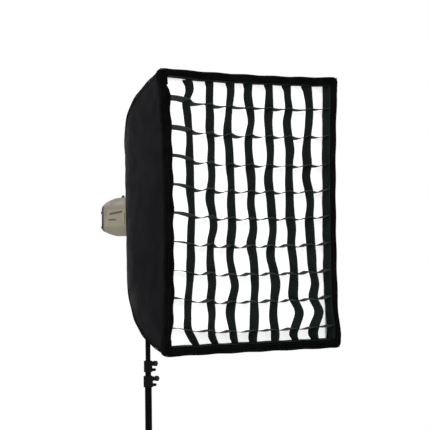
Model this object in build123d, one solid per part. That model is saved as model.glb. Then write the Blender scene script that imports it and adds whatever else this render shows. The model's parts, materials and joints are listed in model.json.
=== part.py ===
"""Rectangular softbox with an eggcrate grid, on a studio flash head and a three-section light stand.

Millimetres, +Z up, z = 0 at the floor. The softbox faces -Y, and the head's optical axis is parallel
to Y at height AXIS_Z. Every piece is drawn with the stand's column on the Z axis, and save() then moves
it back by SHIFT_Y, so that the origin is under the middle of the whole object.
"""
from build123d import *
import os
from math import acos, asin, cos, hypot, radians, sin, tan

os.makedirs("parts", exist_ok=True)

# ---------------------------------------------------------------- driving dimensions
# Softbox
FACE_W = 600.0            # front face, width
FACE_H = 800.0            # front face, height
AXIS_Z = 1250.0           # height of the optical axis
FRONT_Y = -615.0          # plane of the front rim
REAR_HALF = 75.0          # half size of the square that the rods start from
ROD_FRONT_ANGLE = 16.0    # rod's slope from the optical axis at the front corner
ROD_REAR_ANGLE = 62.0     # the same at the speed ring
ROD_STRAIGHT = 100.0      # straight front stretch of a rod
ROD_R = 2.5
ROD_INSET = 9.0           # rod's centre line to the seam outside it
ROD_IN_SOCKET = 22.0
ROD_START = 8.0           # rod's front end, behind the front plane
CAP_R = 3.3
FABRIC = 1.2
SHELL_END = 528.0         # the shell's rear edge, behind the front plane
RIM_WIDTH = 20.0
RIM_DEPTH = 45.0
GRID_COLUMNS = 8
GRID_ROWS = 10
GRID_DEPTH = 38.0
GRID_CLOTH = 1.2
BAFFLE_DEPTH = 260.0

# Flash head
HEAD_W = 110.0
HEAD_H = 125.0
HEAD_CORNER = 30.0
HEAD_FRONT_Y = -36.0
HEAD_REAR_Y = 197.0
BEZEL_FRONT_Y = 183.0     # the casing ends here and the black rear bezel begins
BEZEL_WINDOW = (78.0, 64.0, 12.0)
BEZEL_RECESS = 3.0
BUMPER_R = 5.0            # the head can stand on four bumpers at the corners of the bezel
BUMPER_X = 48.5
BUMPER_Z = (15.0, -33.0)
WINDOW_DROP = 6.0         # the controls' window lies this far below the optical axis
HEAD_WALL = 2.5
GROOVES = ((103.0, 13.0, 84.0, 7.0, 4.5), (126.0, -9.0, 50.0, 5.0, 0.0))  # y, z, length, height, slant
RING_FRONT_Y = -67.0
RING_REAR_Y = -53.0
RING_BORE_R = 72.08
RING_R = 90.0
TILT_DROP = 100.0         # tilt pivot below the optical axis

# Stand
LOWER_R = 11.0
MIDDLE_R = 9.5
TOP_R = 8.0
SLIDE_GAP = 0.1           # radial clearance between nested tubes
LOWER_CLAMP_TOP = 742.0
UPPER_CLAMP_TOP = 790.0
CLAMP_H = 36.0
LEG_LENGTH = 600.0        # leg pivot to foot centre
LEG_SPREAD = 45.0         # leg's angle from the column at work
LEG_PIVOT_R = 30.0        # pivots' distance from the column's axis
BRACE_LENGTH = 270.0      # equal to the distance from the leg's top pivot to the brace's pivot
LEG_W = 14.0
LEG_T = 18.0
FOOT_R = 14.0
FOOT_CENTRE_Z = 12.0
LEG_AZIMUTHS = {"front": 270.0, "right": 30.0, "left": 150.0}
PIN_R = 2.5
PIN_FIT = 0.05            # radial running clearance of pins and shafts

# ---------------------------------------------------------------- worked-out values
PIVOT_Z = AXIS_Z - TILT_DROP
LEG_TOP_Z = FOOT_CENTRE_Z + LEG_LENGTH * cos(radians(LEG_SPREAD))
SPIDER_Z = LEG_TOP_Z - 2 * BRACE_LENGTH * cos(radians(LEG_SPREAD))
HALF_W = FACE_W / 2
HALF_H = FACE_H / 2
DIAG_X = HALF_W - REAR_HALF
DIAG_Z = HALF_H - REAR_HALF
ROD_REACH = hypot(DIAG_X, DIAG_Z)
UNIT_X = DIAG_X / ROD_REACH
UNIT_Z = DIAG_Z / ROD_REACH
A1 = radians(ROD_FRONT_ANGLE)
A2 = radians(ROD_REAR_ANGLE)
ARC_START = ROD_STRAIGHT * cos(A1)
ARC_REACH = ROD_REACH - ROD_STRAIGHT * sin(A1)
ROD_BEND_R = ARC_REACH / (cos(A1) - cos(A2))
FULL_DEPTH = ARC_START + ROD_BEND_R * (sin(A2) - sin(A1))
REAR_FOOT_Y = (LEG_PIVOT_R + LEG_LENGTH * sin(radians(LEG_SPREAD))) * sin(radians(LEG_AZIMUTHS["left"])) + FOOT_R
SHIFT_Y = -(FRONT_Y + REAR_FOOT_Y) / 2
SIGNS = (-1, 1)
BOTTOM = (Align.CENTER, Align.CENTER, Align.MIN)


def save(shape, name):
    export_step(Pos(0, SHIFT_Y, 0) * shape, f"parts/{name}.step")


def upright(radius, z0, z1, x=0.0, y=0.0):
    return Pos(x, y, z0) * Cylinder(radius, z1 - z0, align=BOTTOM)


def along_x(radius, x0, x1, y, z):
    return Pos(x0, y, z) * Rot(0, 90, 0) * Cylinder(radius, x1 - x0, align=BOTTOM)


def along_y(radius, y0, y1, x, z):
    return Pos(x, y0, z) * Rot(-90, 0, 0) * Cylinder(radius, y1 - y0, align=BOTTOM)


def block(x0, x1, y0, y1, z0, z1):
    return Pos((x0 + x1) / 2, (y0 + y1) / 2, (z0 + z1) / 2) * Box(x1 - x0, y1 - y0, z1 - z0)


def ring_y(inner, outer, y0, y1, x=0.0, z=AXIS_Z):
    return along_y(outer, y0, y1, x, z) - along_y(inner, y0 - 1, y1 + 1, x, z)


def rounded_prism(width, height, corner, y0, y1, z=AXIS_Z):
    """A rounded rectangle in the XZ plane, from y0 to y1."""
    face = Plane(origin=(0, y0, z), x_dir=(1, 0, 0), z_dir=(0, 1, 0)) * RectangleRounded(width, height, corner)
    return extrude(face, y1 - y0)


def lobed_knob(radius, lobes, length, depth=0.16):
    """A knob with scalloped sides, along +Z from z = 0, with a domed end."""
    body = fillet(Cylinder(radius, length, align=BOTTOM).edges().group_by(Axis.Z)[-1], length * 0.25)
    scallop_r = radius * 0.42
    for i in range(lobes):
        where = Rot(0, 0, 360 * i / lobes) * Pos(radius + scallop_r * (1 - 2 * depth), 0, -1)
        body -= where * Cylinder(scallop_r, length + 2, align=BOTTOM)
    return body


# ---------------------------------------------------------------- softbox: rods and shell
def rod_reach_at(s):
    """Distance of the seam from the rods' starting corner, in the rod's plane, s behind the front."""
    if s <= ARC_START:
        return ROD_REACH - s * tan(A1)
    angle = asin(sin(A1) + (s - ARC_START) / ROD_BEND_R)
    return ARC_REACH - ROD_BEND_R * (cos(A1) - cos(angle))


def half_width(s):
    return REAR_HALF + UNIT_X * rod_reach_at(s)


def half_height(s):
    return REAR_HALF + UNIT_Z * rod_reach_at(s)


def rod_plane(sx, sz):
    """Local x runs back from the front plane, local y runs out from the starting corner."""
    return Plane(origin=(sx * REAR_HALF, FRONT_Y, AXIS_Z + sz * REAR_HALF), x_dir=(0, 1, 0),
                 z_dir=(sz * UNIT_Z, 0, -sx * UNIT_X))


def rod_wire(start, socket_length):
    """The rod's centre line: straight, then an arc, then straight into its socket."""
    centre = (ARC_START - ROD_BEND_R * sin(A1), ARC_REACH - ROD_BEND_R * cos(A1))
    bend = ROD_BEND_R - ROD_INSET

    def on_arc(angle):
        return (centre[0] + bend * sin(angle), centre[1] + bend * cos(angle))

    p1 = on_arc(A1)
    middle = on_arc((A1 + A2) / 2)
    p2 = on_arc(A2)
    run = (p1[0] - start) / cos(A1)
    p0 = (start, p1[1] + run * sin(A1))
    p3 = (p2[0] + socket_length * cos(A2), p2[1] - socket_length * sin(A2))
    return Line(p0, p1) + ThreePointArc(p1, middle, p2) + Line(p2, p3), p0, p2


def sweep_round(path, radius):
    return sweep(Plane(origin=path @ 0, z_dir=path % 0) * Circle(radius), path=path)


def rod(sx, sz):
    path = rod_plane(sx, sz) * rod_wire(ROD_START, ROD_IN_SOCKET)[0]
    return sweep_round(Wire(path.edges()), ROD_R)


def rod_cap(sx, sz):
    """Rubber tip on the rod's front end, seated in the rim's corner."""
    _, p0, _ = rod_wire(ROD_START, ROD_IN_SOCKET)
    along = Plane(origin=(p0[0] + 6.0 * cos(A1), p0[1] - 6.0 * sin(A1), 0), z_dir=(-cos(A1), sin(A1), 0))
    cap = along * fillet(Cylinder(CAP_R, 10.0, align=BOTTOM).edges().group_by(Axis.Z)[-1], 2.0)
    return rod_plane(sx, sz) * cap - rod(sx, sz)


def socket(sx, sz, radius, extra):
    _, _, p2 = rod_wire(ROD_START, ROD_IN_SOCKET)
    start = (p2[0] - extra * cos(A2), p2[1] + extra * sin(A2), 0)
    frame = Plane(origin=start, z_dir=(cos(A2), -sin(A2), 0))
    return rod_plane(sx, sz) * (frame * Cylinder(radius, ROD_IN_SOCKET + extra, align=BOTTOM))


def fabric_band(half, plane, sign, reach):
    """One side's cloth before it is cut at the seams: a curved band, seen from above or from the side."""
    stations = [2.0 + (SHELL_END - 2.0) * i / 8 for i in range(9)]
    outer = [(sign * half(s), s) for s in stations]
    inner = [(sign * (half(s) - FABRIC), s) for s in reversed(stations)]
    outline = Spline(outer) + Line(outer[-1], inner[0]) + Spline(inner) + Line(inner[-1], outer[0])
    return extrude(plane * make_face(outline.edges()), reach, both=True)


def panel_wedge(side):
    """The prism between two neighbouring seams, seen along Y."""
    near = REAR_HALF
    out = 500.0
    fx = near + UNIT_X * out
    fz = near + UNIT_Z * out
    corners = {
        "left": [(-near, -near), (-fx, -fz), (-fx, fz), (-near, near)],
        "right": [(near, -near), (fx, -fz), (fx, fz), (near, near)],
        "top": [(-near, near), (-fx, fz), (fx, fz), (near, near)],
        "bottom": [(-near, -near), (-fx, -fz), (fx, -fz), (near, -near)],
    }[side]
    face = make_face(Polyline(*corners, close=True).edges())
    plane = Plane(origin=(0, 0, AXIS_Z), x_dir=(1, 0, 0), z_dir=(0, -1, 0))
    return extrude(plane * face, 700)


def build_shell():
    from_above = Plane(origin=(0, FRONT_Y, AXIS_Z), x_dir=(1, 0, 0), z_dir=(0, 0, 1))
    from_side = Plane(origin=(0, FRONT_Y, AXIS_Z), x_dir=(0, 0, 1), z_dir=(-1, 0, 0))
    for side, sign in (("left", -1), ("right", 1)):
        save(fabric_band(half_width, from_above, sign, HALF_H + 20) & panel_wedge(side), f"panel_{side}")
    for side, sign in (("bottom", -1), ("top", 1)):
        save(fabric_band(half_height, from_side, sign, HALF_W + 20) & panel_wedge(side), f"panel_{side}")


def build_rods():
    rods = []
    caps = []
    for sx in SIGNS:
        for sz in SIGNS:
            rods.append(rod(sx, sz))
            caps.append(rod_cap(sx, sz))
    save(Compound(children=rods), "rods")
    save(Compound(children=caps), "rod_tip_caps")


def build_rear_sleeve():
    w = 2 * half_width(SHELL_END)
    h = 2 * half_height(SHELL_END)
    y0 = FRONT_Y + SHELL_END
    y1 = -42.0
    sleeve = rounded_prism(w, h, 24, y0, y1)
    sleeve -= rounded_prism(w - 2 * FABRIC, h - 2 * FABRIC, 22.5, y0 - 1, y1 - FABRIC)
    sleeve -= along_y(68.0, y0, y1 + 1, 0, AXIS_Z)
    sleeve -= along_x(9.0, 80, 120, (RING_FRONT_Y + RING_REAR_Y) / 2, AXIS_Z)
    save(sleeve, "rear_sleeve")


def mitred_strips(profile_of):
    """Four strips of a rectangular frame, cut at 45 degrees where they meet."""
    strips = []
    for side in ("left", "right", "top", "bottom"):
        sign = -1 if side in ("left", "bottom") else 1
        solid = profile_of(side, sign)
        reach = 600.0
        inner_w = HALF_W - 100.0
        inner_h = HALF_H - 100.0
        if side in ("left", "right"):
            pts = [(sign * inner_w, -inner_h), (sign * (inner_w + reach), -inner_h - reach),
                   (sign * (inner_w + reach), inner_h + reach), (sign * inner_w, inner_h)]
        else:
            pts = [(-inner_w, sign * inner_h), (-inner_w - reach, sign * (inner_h + reach)),
                   (inner_w + reach, sign * (inner_h + reach)), (inner_w, sign * inner_h)]
        plane = Plane(origin=(0, 0, AXIS_Z), x_dir=(1, 0, 0), z_dir=(0, -1, 0))
        wedge = extrude(plane * make_face(Polyline(*pts, close=True).edges()), 700)
        strips.append(solid & wedge)
    return strips


def rim_strip(side, sign):
    """Front hem: a lip that faces forward and a skirt that runs back inside it."""
    y0 = FRONT_Y
    lip_t = 2.0
    skirt_t = 1.2
    half = HALF_W if side in ("left", "right") else HALF_H
    inner = half - RIM_WIDTH
    if side in ("left", "right"):
        lip = block(*sorted((sign * inner, sign * half)), y0, y0 + lip_t, AXIS_Z - HALF_H, AXIS_Z + HALF_H)
        skirt = block(*sorted((sign * inner, sign * (inner - skirt_t))), y0, y0 + RIM_DEPTH,
                      AXIS_Z - HALF_H, AXIS_Z + HALF_H)
        return lip + skirt
    lip = block(-HALF_W, HALF_W, y0, y0 + lip_t, *sorted((AXIS_Z + sign * inner, AXIS_Z + sign * half)))
    skirt = block(-HALF_W, HALF_W, y0, y0 + RIM_DEPTH,
                  *sorted((AXIS_Z + sign * inner, AXIS_Z + sign * (inner - skirt_t))))
    return lip + skirt


GRID_HALF_W = HALF_W - RIM_WIDTH - 1.2 - 0.3
GRID_HALF_H = HALF_H - RIM_WIDTH - 1.2 - 0.3
GRID_FRONT = FRONT_Y + 1.0
GRID_BACK = GRID_FRONT + GRID_DEPTH
BORDER_T = 1.8


def grid_border_strip(side, sign):
    if side in ("left", "right"):
        return block(*sorted((sign * GRID_HALF_W, sign * (GRID_HALF_W - BORDER_T))), GRID_FRONT, GRID_BACK,
                     AXIS_Z - GRID_HALF_H, AXIS_Z + GRID_HALF_H)
    return block(-GRID_HALF_W, GRID_HALF_W, GRID_FRONT, GRID_BACK,
                 *sorted((AXIS_Z + sign * GRID_HALF_H, AXIS_Z + sign * (GRID_HALF_H - BORDER_T))))


def build_grid():
    save(Compound(children=mitred_strips(grid_border_strip)), "grid_border")
    inner_w = GRID_HALF_W - BORDER_T
    inner_h = GRID_HALF_H - BORDER_T
    columns = [-inner_w + 2 * inner_w * i / GRID_COLUMNS for i in range(1, GRID_COLUMNS)]
    rows = [-inner_h + 2 * inner_h * i / GRID_ROWS for i in range(1, GRID_ROWS)]
    middle = (GRID_FRONT + GRID_BACK) / 2
    half_t = GRID_CLOTH / 2
    slot = half_t + 0.15
    uprights = []
    for x in columns:
        strip = block(x - half_t, x + half_t, GRID_FRONT + 1, GRID_BACK, AXIS_Z - inner_h, AXIS_Z + inner_h)
        for z in rows:
            strip -= block(x - 2, x + 2, GRID_FRONT, middle, AXIS_Z + z - slot, AXIS_Z + z + slot)
        uprights.append(strip)
    shelves = []
    for z in rows:
        strip = block(-inner_w, inner_w, GRID_FRONT + 1, GRID_BACK, AXIS_Z + z - half_t, AXIS_Z + z + half_t)
        for x in columns:
            strip -= block(x - slot, x + slot, middle, GRID_BACK + 1, AXIS_Z + z - 2, AXIS_Z + z + 2)
        shelves.append(strip)
    save(Compound(children=uprights), "grid_vertical_strips")
    save(Compound(children=shelves), "grid_horizontal_strips")


def build_front():
    save(Compound(children=mitred_strips(rim_strip)), "front_rim")
    build_grid()
    w = HALF_W - RIM_WIDTH - 1.2
    h = HALF_H - RIM_WIDTH - 1.2
    y0 = GRID_BACK + 3.0
    save(block(-w, w, y0, y0 + 1.0, AXIS_Z - h, AXIS_Z + h), "front_diffuser")


def build_baffle():
    """Inner diffuser, held by a strap to the rod at each corner."""
    y = FRONT_Y + BAFFLE_DEPTH
    w = half_width(BAFFLE_DEPTH) - 40
    h = half_height(BAFFLE_DEPTH) - 40
    baffle = block(-w, w, y, y + 1.0, AXIS_Z - h, AXIS_Z + h)
    for sx in SIGNS:
        for sz in SIGNS:
            strap = Pos(0, 18.5, 0) * Box(8.0, 36.0, 1.6)
            lie = Plane(origin=(sx * (w - 4), y - 0.3, AXIS_Z + sz * (h - 4)),
                        x_dir=(sz * UNIT_Z, 0, -sx * UNIT_X), z_dir=(0, sx * sz, 0))
            baffle += lie * strap
    save(baffle, "inner_baffle")


# ---------------------------------------------------------------- speed ring
def build_speed_ring():
    ring = ring_y(RING_BORE_R, RING_R, RING_FRONT_Y, RING_REAR_Y)
    for sx in SIGNS:
        for sz in SIGNS:
            ring += socket(sx, sz, 6.5, 6.0)
    ring -= along_y(RING_BORE_R, -100, 0, 0, AXIS_Z)
    for sx in SIGNS:
        for sz in SIGNS:
            ring -= socket(sx, sz, ROD_R + PIN_FIT, 30.0)
    middle = (RING_FRONT_Y + RING_REAR_Y) / 2
    ring -= along_x(3.0 + PIN_FIT, RING_BORE_R - 2, RING_R + 2, middle, AXIS_Z)
    save(ring, "speed_ring")

    insert = ring_y(60.3, RING_BORE_R - 0.08, -70, -46)
    insert += ring_y(60.3, 78, RING_REAR_Y + 0.3, -50)
    insert += ring_y(50, 78, -70, RING_FRONT_Y - 0.3)
    save(insert, "ring_insert")

    screw = Cylinder(3.0, 32, align=BOTTOM)
    head = Pos(0, 0, 27) * lobed_knob(11, 6, 20)
    knob = Pos(RING_BORE_R + 0.6, middle, AXIS_Z) * Rot(0, 90, 0) * (screw + head)
    save(knob, "ring_lock_knob")


# ---------------------------------------------------------------- flash head
def head_outline(inset):
    """Side view of the casing: square at the front, rounded off at the back."""
    top = HEAD_H / 2 - inset
    low = -HEAD_H / 2 + inset
    y0 = HEAD_FRONT_Y
    y1 = HEAD_REAR_Y - inset
    outline = Polyline((y0, top), (132, top), (170, top - 14), (y1 - 4, top - 28), (y1, top - 36),
                       (y1, low + 24), (y1 - 6, low + 17), (140, low), (y0, low), close=True)
    plane = Plane(origin=(0, 0, AXIS_Z), x_dir=(0, 1, 0), z_dir=(1, 0, 0))
    prism = extrude(plane * make_face(outline.edges()), HEAD_W, both=True)
    soft = [e for e in prism.edges().filter_by(Axis.X) if abs(e.center().Y - y0) > 1]
    return fillet(soft, 3.5)


def head_solid(inset, y0, y1):
    return head_outline(inset) & rounded_prism(HEAD_W - 2 * inset, HEAD_H - 2 * inset, HEAD_CORNER - inset, y0, y1)


def build_casing():
    y0 = HEAD_FRONT_Y
    casing = head_solid(0, y0, BEZEL_FRONT_Y) - head_solid(HEAD_WALL, y0 - 1, BEZEL_FRONT_Y + 1)
    for sx in SIGNS:
        for y, z, length, height, slant in GROOVES:
            casing -= Pos(sx * HEAD_W / 2, y, AXIS_Z + z) * Rot(-slant, 0, 0) * Box(1.6, length, height)
        for i in range(5):
            y = 8 + 9 * i
            casing -= block(sx * HEAD_W / 2 - 4, sx * HEAD_W / 2 + 4, y, y + 3.5, AXIS_Z - 26, AXIS_Z + 14)
    save(casing, "head_casing")

    bezel = head_solid(0, BEZEL_FRONT_Y, HEAD_REAR_Y)
    bezel -= rounded_prism(*BEZEL_WINDOW, BEZEL_FRONT_Y - 1, HEAD_REAR_Y + 6, AXIS_Z - WINDOW_DROP)
    for sx in SIGNS:
        for z in BUMPER_Z:
            bezel += along_y(BUMPER_R, HEAD_REAR_Y - 4, HEAD_REAR_Y + 8, sx * BUMPER_X, AXIS_Z + z)
    save(bezel, "rear_bezel")


LATCH_X = 61.0
LATCH_RISE = 8.0


def build_flange():
    """Front casting of the head: bulkhead, bayonet collar and lamp sockets."""
    flange = along_y(66, -46, HEAD_FRONT_Y, 0, AXIS_Z) + ring_y(54, 60, -60, -46)
    flange -= along_y(9.05, -70, -30, 0, AXIS_Z)
    for x in SIGNS:
        flange -= along_y(3.0 + PIN_FIT, -70, -41, 27 * x, AXIS_Z)
    flange += along_y(2.0, HEAD_FRONT_Y - 1, -28.6, LATCH_X, AXIS_Z + LATCH_RISE)
    flange += along_y(4.0, -28.6, -27, LATCH_X, AXIS_Z + LATCH_RISE)
    save(flange, "front_flange")


def build_lamps():
    ring = Pos(0, -84, AXIS_Z) * Rot(90, 0, 0) * Torus(27, 3.6)
    for x in SIGNS:
        ring += along_y(3.0, -84, -41, 27 * x, AXIS_Z)
    save(ring, "flash_tube")

    lamp = Pos(0, -72, AXIS_Z) * Sphere(15) + along_y(9, -62, -38, 0, AXIS_Z)
    save(lamp, "modelling_lamp")

    def dome(radius, front):
        body = along_y(radius, front + radius, -46, 0, AXIS_Z)
        return body + Pos(0, front + radius, AXIS_Z) * Sphere(radius)

    shell = dome(44, -138) - dome(42, -136)
    shell -= block(-60, 60, -46, 0, AXIS_Z - 60, AXIS_Z + 60)
    save(shell, "glass_dome")


def build_release_lever():
    """Latch on the flange's right side that frees the bayonet."""
    low = AXIS_Z + LATCH_RISE
    hub = along_y(4.0, -35.6, -29, LATCH_X, low)
    arm = block(LATCH_X - 3, LATCH_X + 3, -35.6, -31, low, low + 26)
    grip = along_y(4.5, -35.6, -28, LATCH_X, low + 28)
    lever = hub + arm + grip
    lever -= along_y(2.0 + PIN_FIT, -40, -20, LATCH_X, low)
    save(lever, "release_lever")


def dial(radius, length, x, z, y0):
    stem = along_y(4.0, y0 - 8, y0, 0, 0)
    cap = Pos(0, y0, 0) * Rot(-90, 0, 0) * lobed_knob(radius, 10, length, 0.3)
    mark = block(-0.8, 0.8, y0 + length - 1.5, y0 + length + 0.5, radius * 0.2, radius * 0.85)
    return Pos(x, 0, z) * (stem + cap + mark)


PANEL_Y = HEAD_REAR_Y - BEZEL_RECESS
DIAL_X = -26.0
DIALS = {"power_dial": (DIAL_X, 9.0, 10.5), "modelling_dial": (DIAL_X, -24.0, 10.0)}


def build_rear_panel():
    w, h, corner = BEZEL_WINDOW
    panel = rounded_prism(w - 0.2, h - 0.2, corner - 0.1, PANEL_Y - 4, PANEL_Y, AXIS_Z - WINDOW_DROP)
    for x, z, _ in DIALS.values():
        panel -= along_y(4.0 + PIN_FIT, PANEL_Y - 10, PANEL_Y + 5, x, AXIS_Z + z)
    panel -= block(9.7, 20.3, PANEL_Y - 10, PANEL_Y + 5, AXIS_Z + 3.1, AXIS_Z + 22.9)
    panel -= along_y(4.05, PANEL_Y - 10, PANEL_Y + 5, 0, AXIS_Z + 13)
    panel -= block(-5, 23, PANEL_Y - 10, PANEL_Y + 5, AXIS_Z - 30, AXIS_Z - 10)
    panel -= along_y(4.5, PANEL_Y - 10, PANEL_Y + 5, 30, AXIS_Z + 13)
    save(panel, "rear_panel")
    for name, (x, z, radius) in DIALS.items():
        save(dial(radius, 18, x, AXIS_Z + z, PANEL_Y + 0.4), name)


def build_rear_fittings():
    rocker = block(10, 20, PANEL_Y - 6, PANEL_Y + 1, AXIS_Z + 4.6, AXIS_Z + 21.4)
    rocker += along_x(3.0, 10, 20, PANEL_Y - 6, AXIS_Z + 13)
    crest = Pos(15, PANEL_Y + 1, AXIS_Z + 13) * Rot(12, 0, 0) * Box(10, 2.4, 15)
    save(rocker + crest, "rocker_switch")
    save(along_y(4.0, PANEL_Y - 7, PANEL_Y + 4, 0, AXIS_Z + 13), "test_button")
    inlet = block(-5, 23, PANEL_Y - 20, PANEL_Y + 3, AXIS_Z - 30, AXIS_Z - 10)
    inlet -= block(-2.5, 20.5, PANEL_Y - 14, PANEL_Y + 5, AXIS_Z - 27.5, AXIS_Z - 12.5)
    inlet += block(-5, 23, PANEL_Y + 1, PANEL_Y + 4.5, AXIS_Z - 36, AXIS_Z - 29)
    for x, z in ((2.0, -18.0), (16.0, -18.0), (9.0, -22.5)):
        inlet += block(x - 1, x + 1, PANEL_Y - 15, PANEL_Y - 2, AXIS_Z + z - 2, AXIS_Z + z + 2)
    save(inlet, "mains_inlet")
    sync = along_y(4.5, PANEL_Y - 16, PANEL_Y + 2, 30, AXIS_Z + 13)
    sync -= along_y(3.2, PANEL_Y - 12, PANEL_Y + 5, 30, AXIS_Z + 13)
    save(sync, "sync_socket")
    top = AXIS_Z + HEAD_H / 2
    eye = Pos(-15, 124, top + 3.5) * Sphere(4.4)
    sensor = upright(5.5, top, top + 3, -15, 124) + (eye & block(-30, 0, 110, 140, top, top + 20))
    save(sensor, "slave_sensor")


def build_head_inside():
    cans = [along_y(19, 20, 118, x, AXIS_Z - 30) for x in (-24, 24)]
    save(Compound(children=cans), "capacitors")
    y0 = 146.0
    frame = block(-32, 32, y0, y0 + 16, AXIS_Z - 32, AXIS_Z + 32)
    frame -= along_y(29.5, y0 - 1, y0 + 13, 0, AXIS_Z)
    frame -= ring_y(12, 29.5, y0 + 12, y0 + 17) - (block(-40, 40, y0, y0 + 20, AXIS_Z - 2, AXIS_Z + 2)
                                                  + block(-2, 2, y0, y0 + 20, AXIS_Z - 40, AXIS_Z + 40))
    frame += along_y(2.5, y0 + 2, y0 + 13, 0, AXIS_Z)
    save(frame, "fan_frame")
    rotor = along_y(12, y0 + 1, y0 + 12.5, 0, AXIS_Z)
    for i in range(7):
        blade = Pos(0, y0 + 6.5, AXIS_Z) * Rot(0, 360 * i / 7, 0) * Pos(20, 0, 0) * Rot(32, 0, 0) * Box(17, 1.4, 13)
        rotor += blade
    rotor &= along_y(28.5, y0 + 1, y0 + 12.5, 0, AXIS_Z)
    rotor -= along_y(2.5 + PIN_FIT, y0, y0 + 20, 0, AXIS_Z)
    save(rotor, "fan_rotor")


def build_head_foot():
    """Lug under the head, with the umbrella bore through it."""
    z_foot = AXIS_Z - HEAD_H / 2
    foot = block(-18, 18, -30, 40, z_foot - 6, z_foot) - head_outline(0)
    lug = block(-8, 8, -16, 16, PIVOT_Z, z_foot - 5) + along_x(16, -8, 8, 0, PIVOT_Z)
    lug += block(-8, 8, -20, 24, z_foot - 19.3, z_foot - 5)
    body = foot + lug
    body -= along_x(4.0 + PIN_FIT, -20, 20, 0, PIVOT_Z)
    body -= along_y(4.1, -60, 60, 0, z_foot - 14)
    save(body, "head_foot")


# ---------------------------------------------------------------- bracket on the stand
SOCKET_TOP = PIVOT_Z - 22.0
SOCKET_LOW = PIVOT_Z - 87.7
STUD_LOW = PIVOT_Z - 88.0
SOCKET_KNOB_Z = STUD_LOW + 24.0


def build_bracket():
    body = upright(17, SOCKET_LOW, SOCKET_TOP) + block(-16, 16, -17, 17, SOCKET_TOP - 4, SOCKET_TOP + 4.5)
    for sx in SIGNS:
        x0, x1 = sorted((sx * 8.3, sx * 16))
        body += block(x0, x1, -17, 17, SOCKET_TOP, PIVOT_Z) + along_x(17, x0, x1, 0, PIVOT_Z)
    body += along_x(8, 12, 24, 0, SOCKET_KNOB_Z)
    body -= along_x(4.0 + PIN_FIT, -30, 30, 0, PIVOT_Z)
    body -= upright(TOP_R + PIN_FIT, SOCKET_LOW - 1, STUD_LOW + 47)
    body -= along_x(3.0 + PIN_FIT, 0, 30, 0, SOCKET_KNOB_Z)
    save(body, "bracket_socket")

    bolt = along_x(4.0, -30, 17, 0, PIVOT_Z)
    bolt += Pos(16.2, 0, PIVOT_Z) * Rot(0, 90, 0) * extrude(RegularPolygon(7.5, 6), 5)
    save(bolt, "tilt_bolt")

    arm = SlotCenterToCenter(50, 13)
    blade = extrude(Plane(origin=(-29.5, 0, PIVOT_Z - 25), x_dir=(0, 0, 1), z_dir=(1, 0, 0)) * arm, 7)
    lever = along_x(9.5, -29.5, -16.4, 0, PIVOT_Z) + blade
    lever -= along_x(4.0 + PIN_FIT, -40, 0, 0, PIVOT_Z)
    save(lever, "tilt_lever")

    screw = Cylinder(3.0, 22, align=BOTTOM)
    grip = Pos(0, 0, 16.4) * lobed_knob(11, 6, 18)
    save(Pos(8.2, 0, SOCKET_KNOB_Z) * Rot(0, 90, 0) * (screw + grip), "socket_knob")


# ---------------------------------------------------------------- stand: column
def clamp_knob(reach, z, start):
    """Wing screw that clamps a tube, along +X."""
    screw = Cylinder(3.0, reach - 10 - start, align=BOTTOM)
    hub = Pos(0, 0, reach - 13.5 - start) * Cylinder(5.5, 13.5, align=BOTTOM)
    wing = Pos(0, 0, reach - 7 - start) * Box(17, 8, 11.5)
    wing = fillet(wing.edges().filter_by(Axis.Y), 3.5)
    return Pos(start, 0, z) * Rot(0, 90, 0) * (screw + hub + wing)


def clamp_collar(tube_r, inner_r, outer_r, top, boss_z, ear_z):
    """Clamp on a tube's top end; the next tube slides through its smaller upper bore."""
    low = top - CLAMP_H
    body = upright(outer_r, low, top)
    body = chamfer(body.edges().group_by(Axis.Z)[-1], 1.5)
    body += along_x(7.5, outer_r - 4, outer_r + 5, 0, boss_z)
    ear = block(outer_r - 4, outer_r + 13, -5, 5, ear_z - 5, ear_z + 4)
    body += chamfer(ear.edges().filter_by(Axis.Y).group_by(Axis.X)[-1], 3)
    body -= block(outer_r - 9, outer_r + 20, -1.0, 1.0, low - 1, ear_z + 7)
    body -= upright(tube_r, low - 1, top - 7)
    body -= upright(inner_r, top - 8, top + 1)
    body -= along_x(3.0 + PIN_FIT, 0, outer_r + 20, 0, boss_z)
    return body


def tube(outer, inner, z0, z1):
    return upright(outer, z0, z1) - upright(inner, z0 - 1, z1 + 1)


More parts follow.
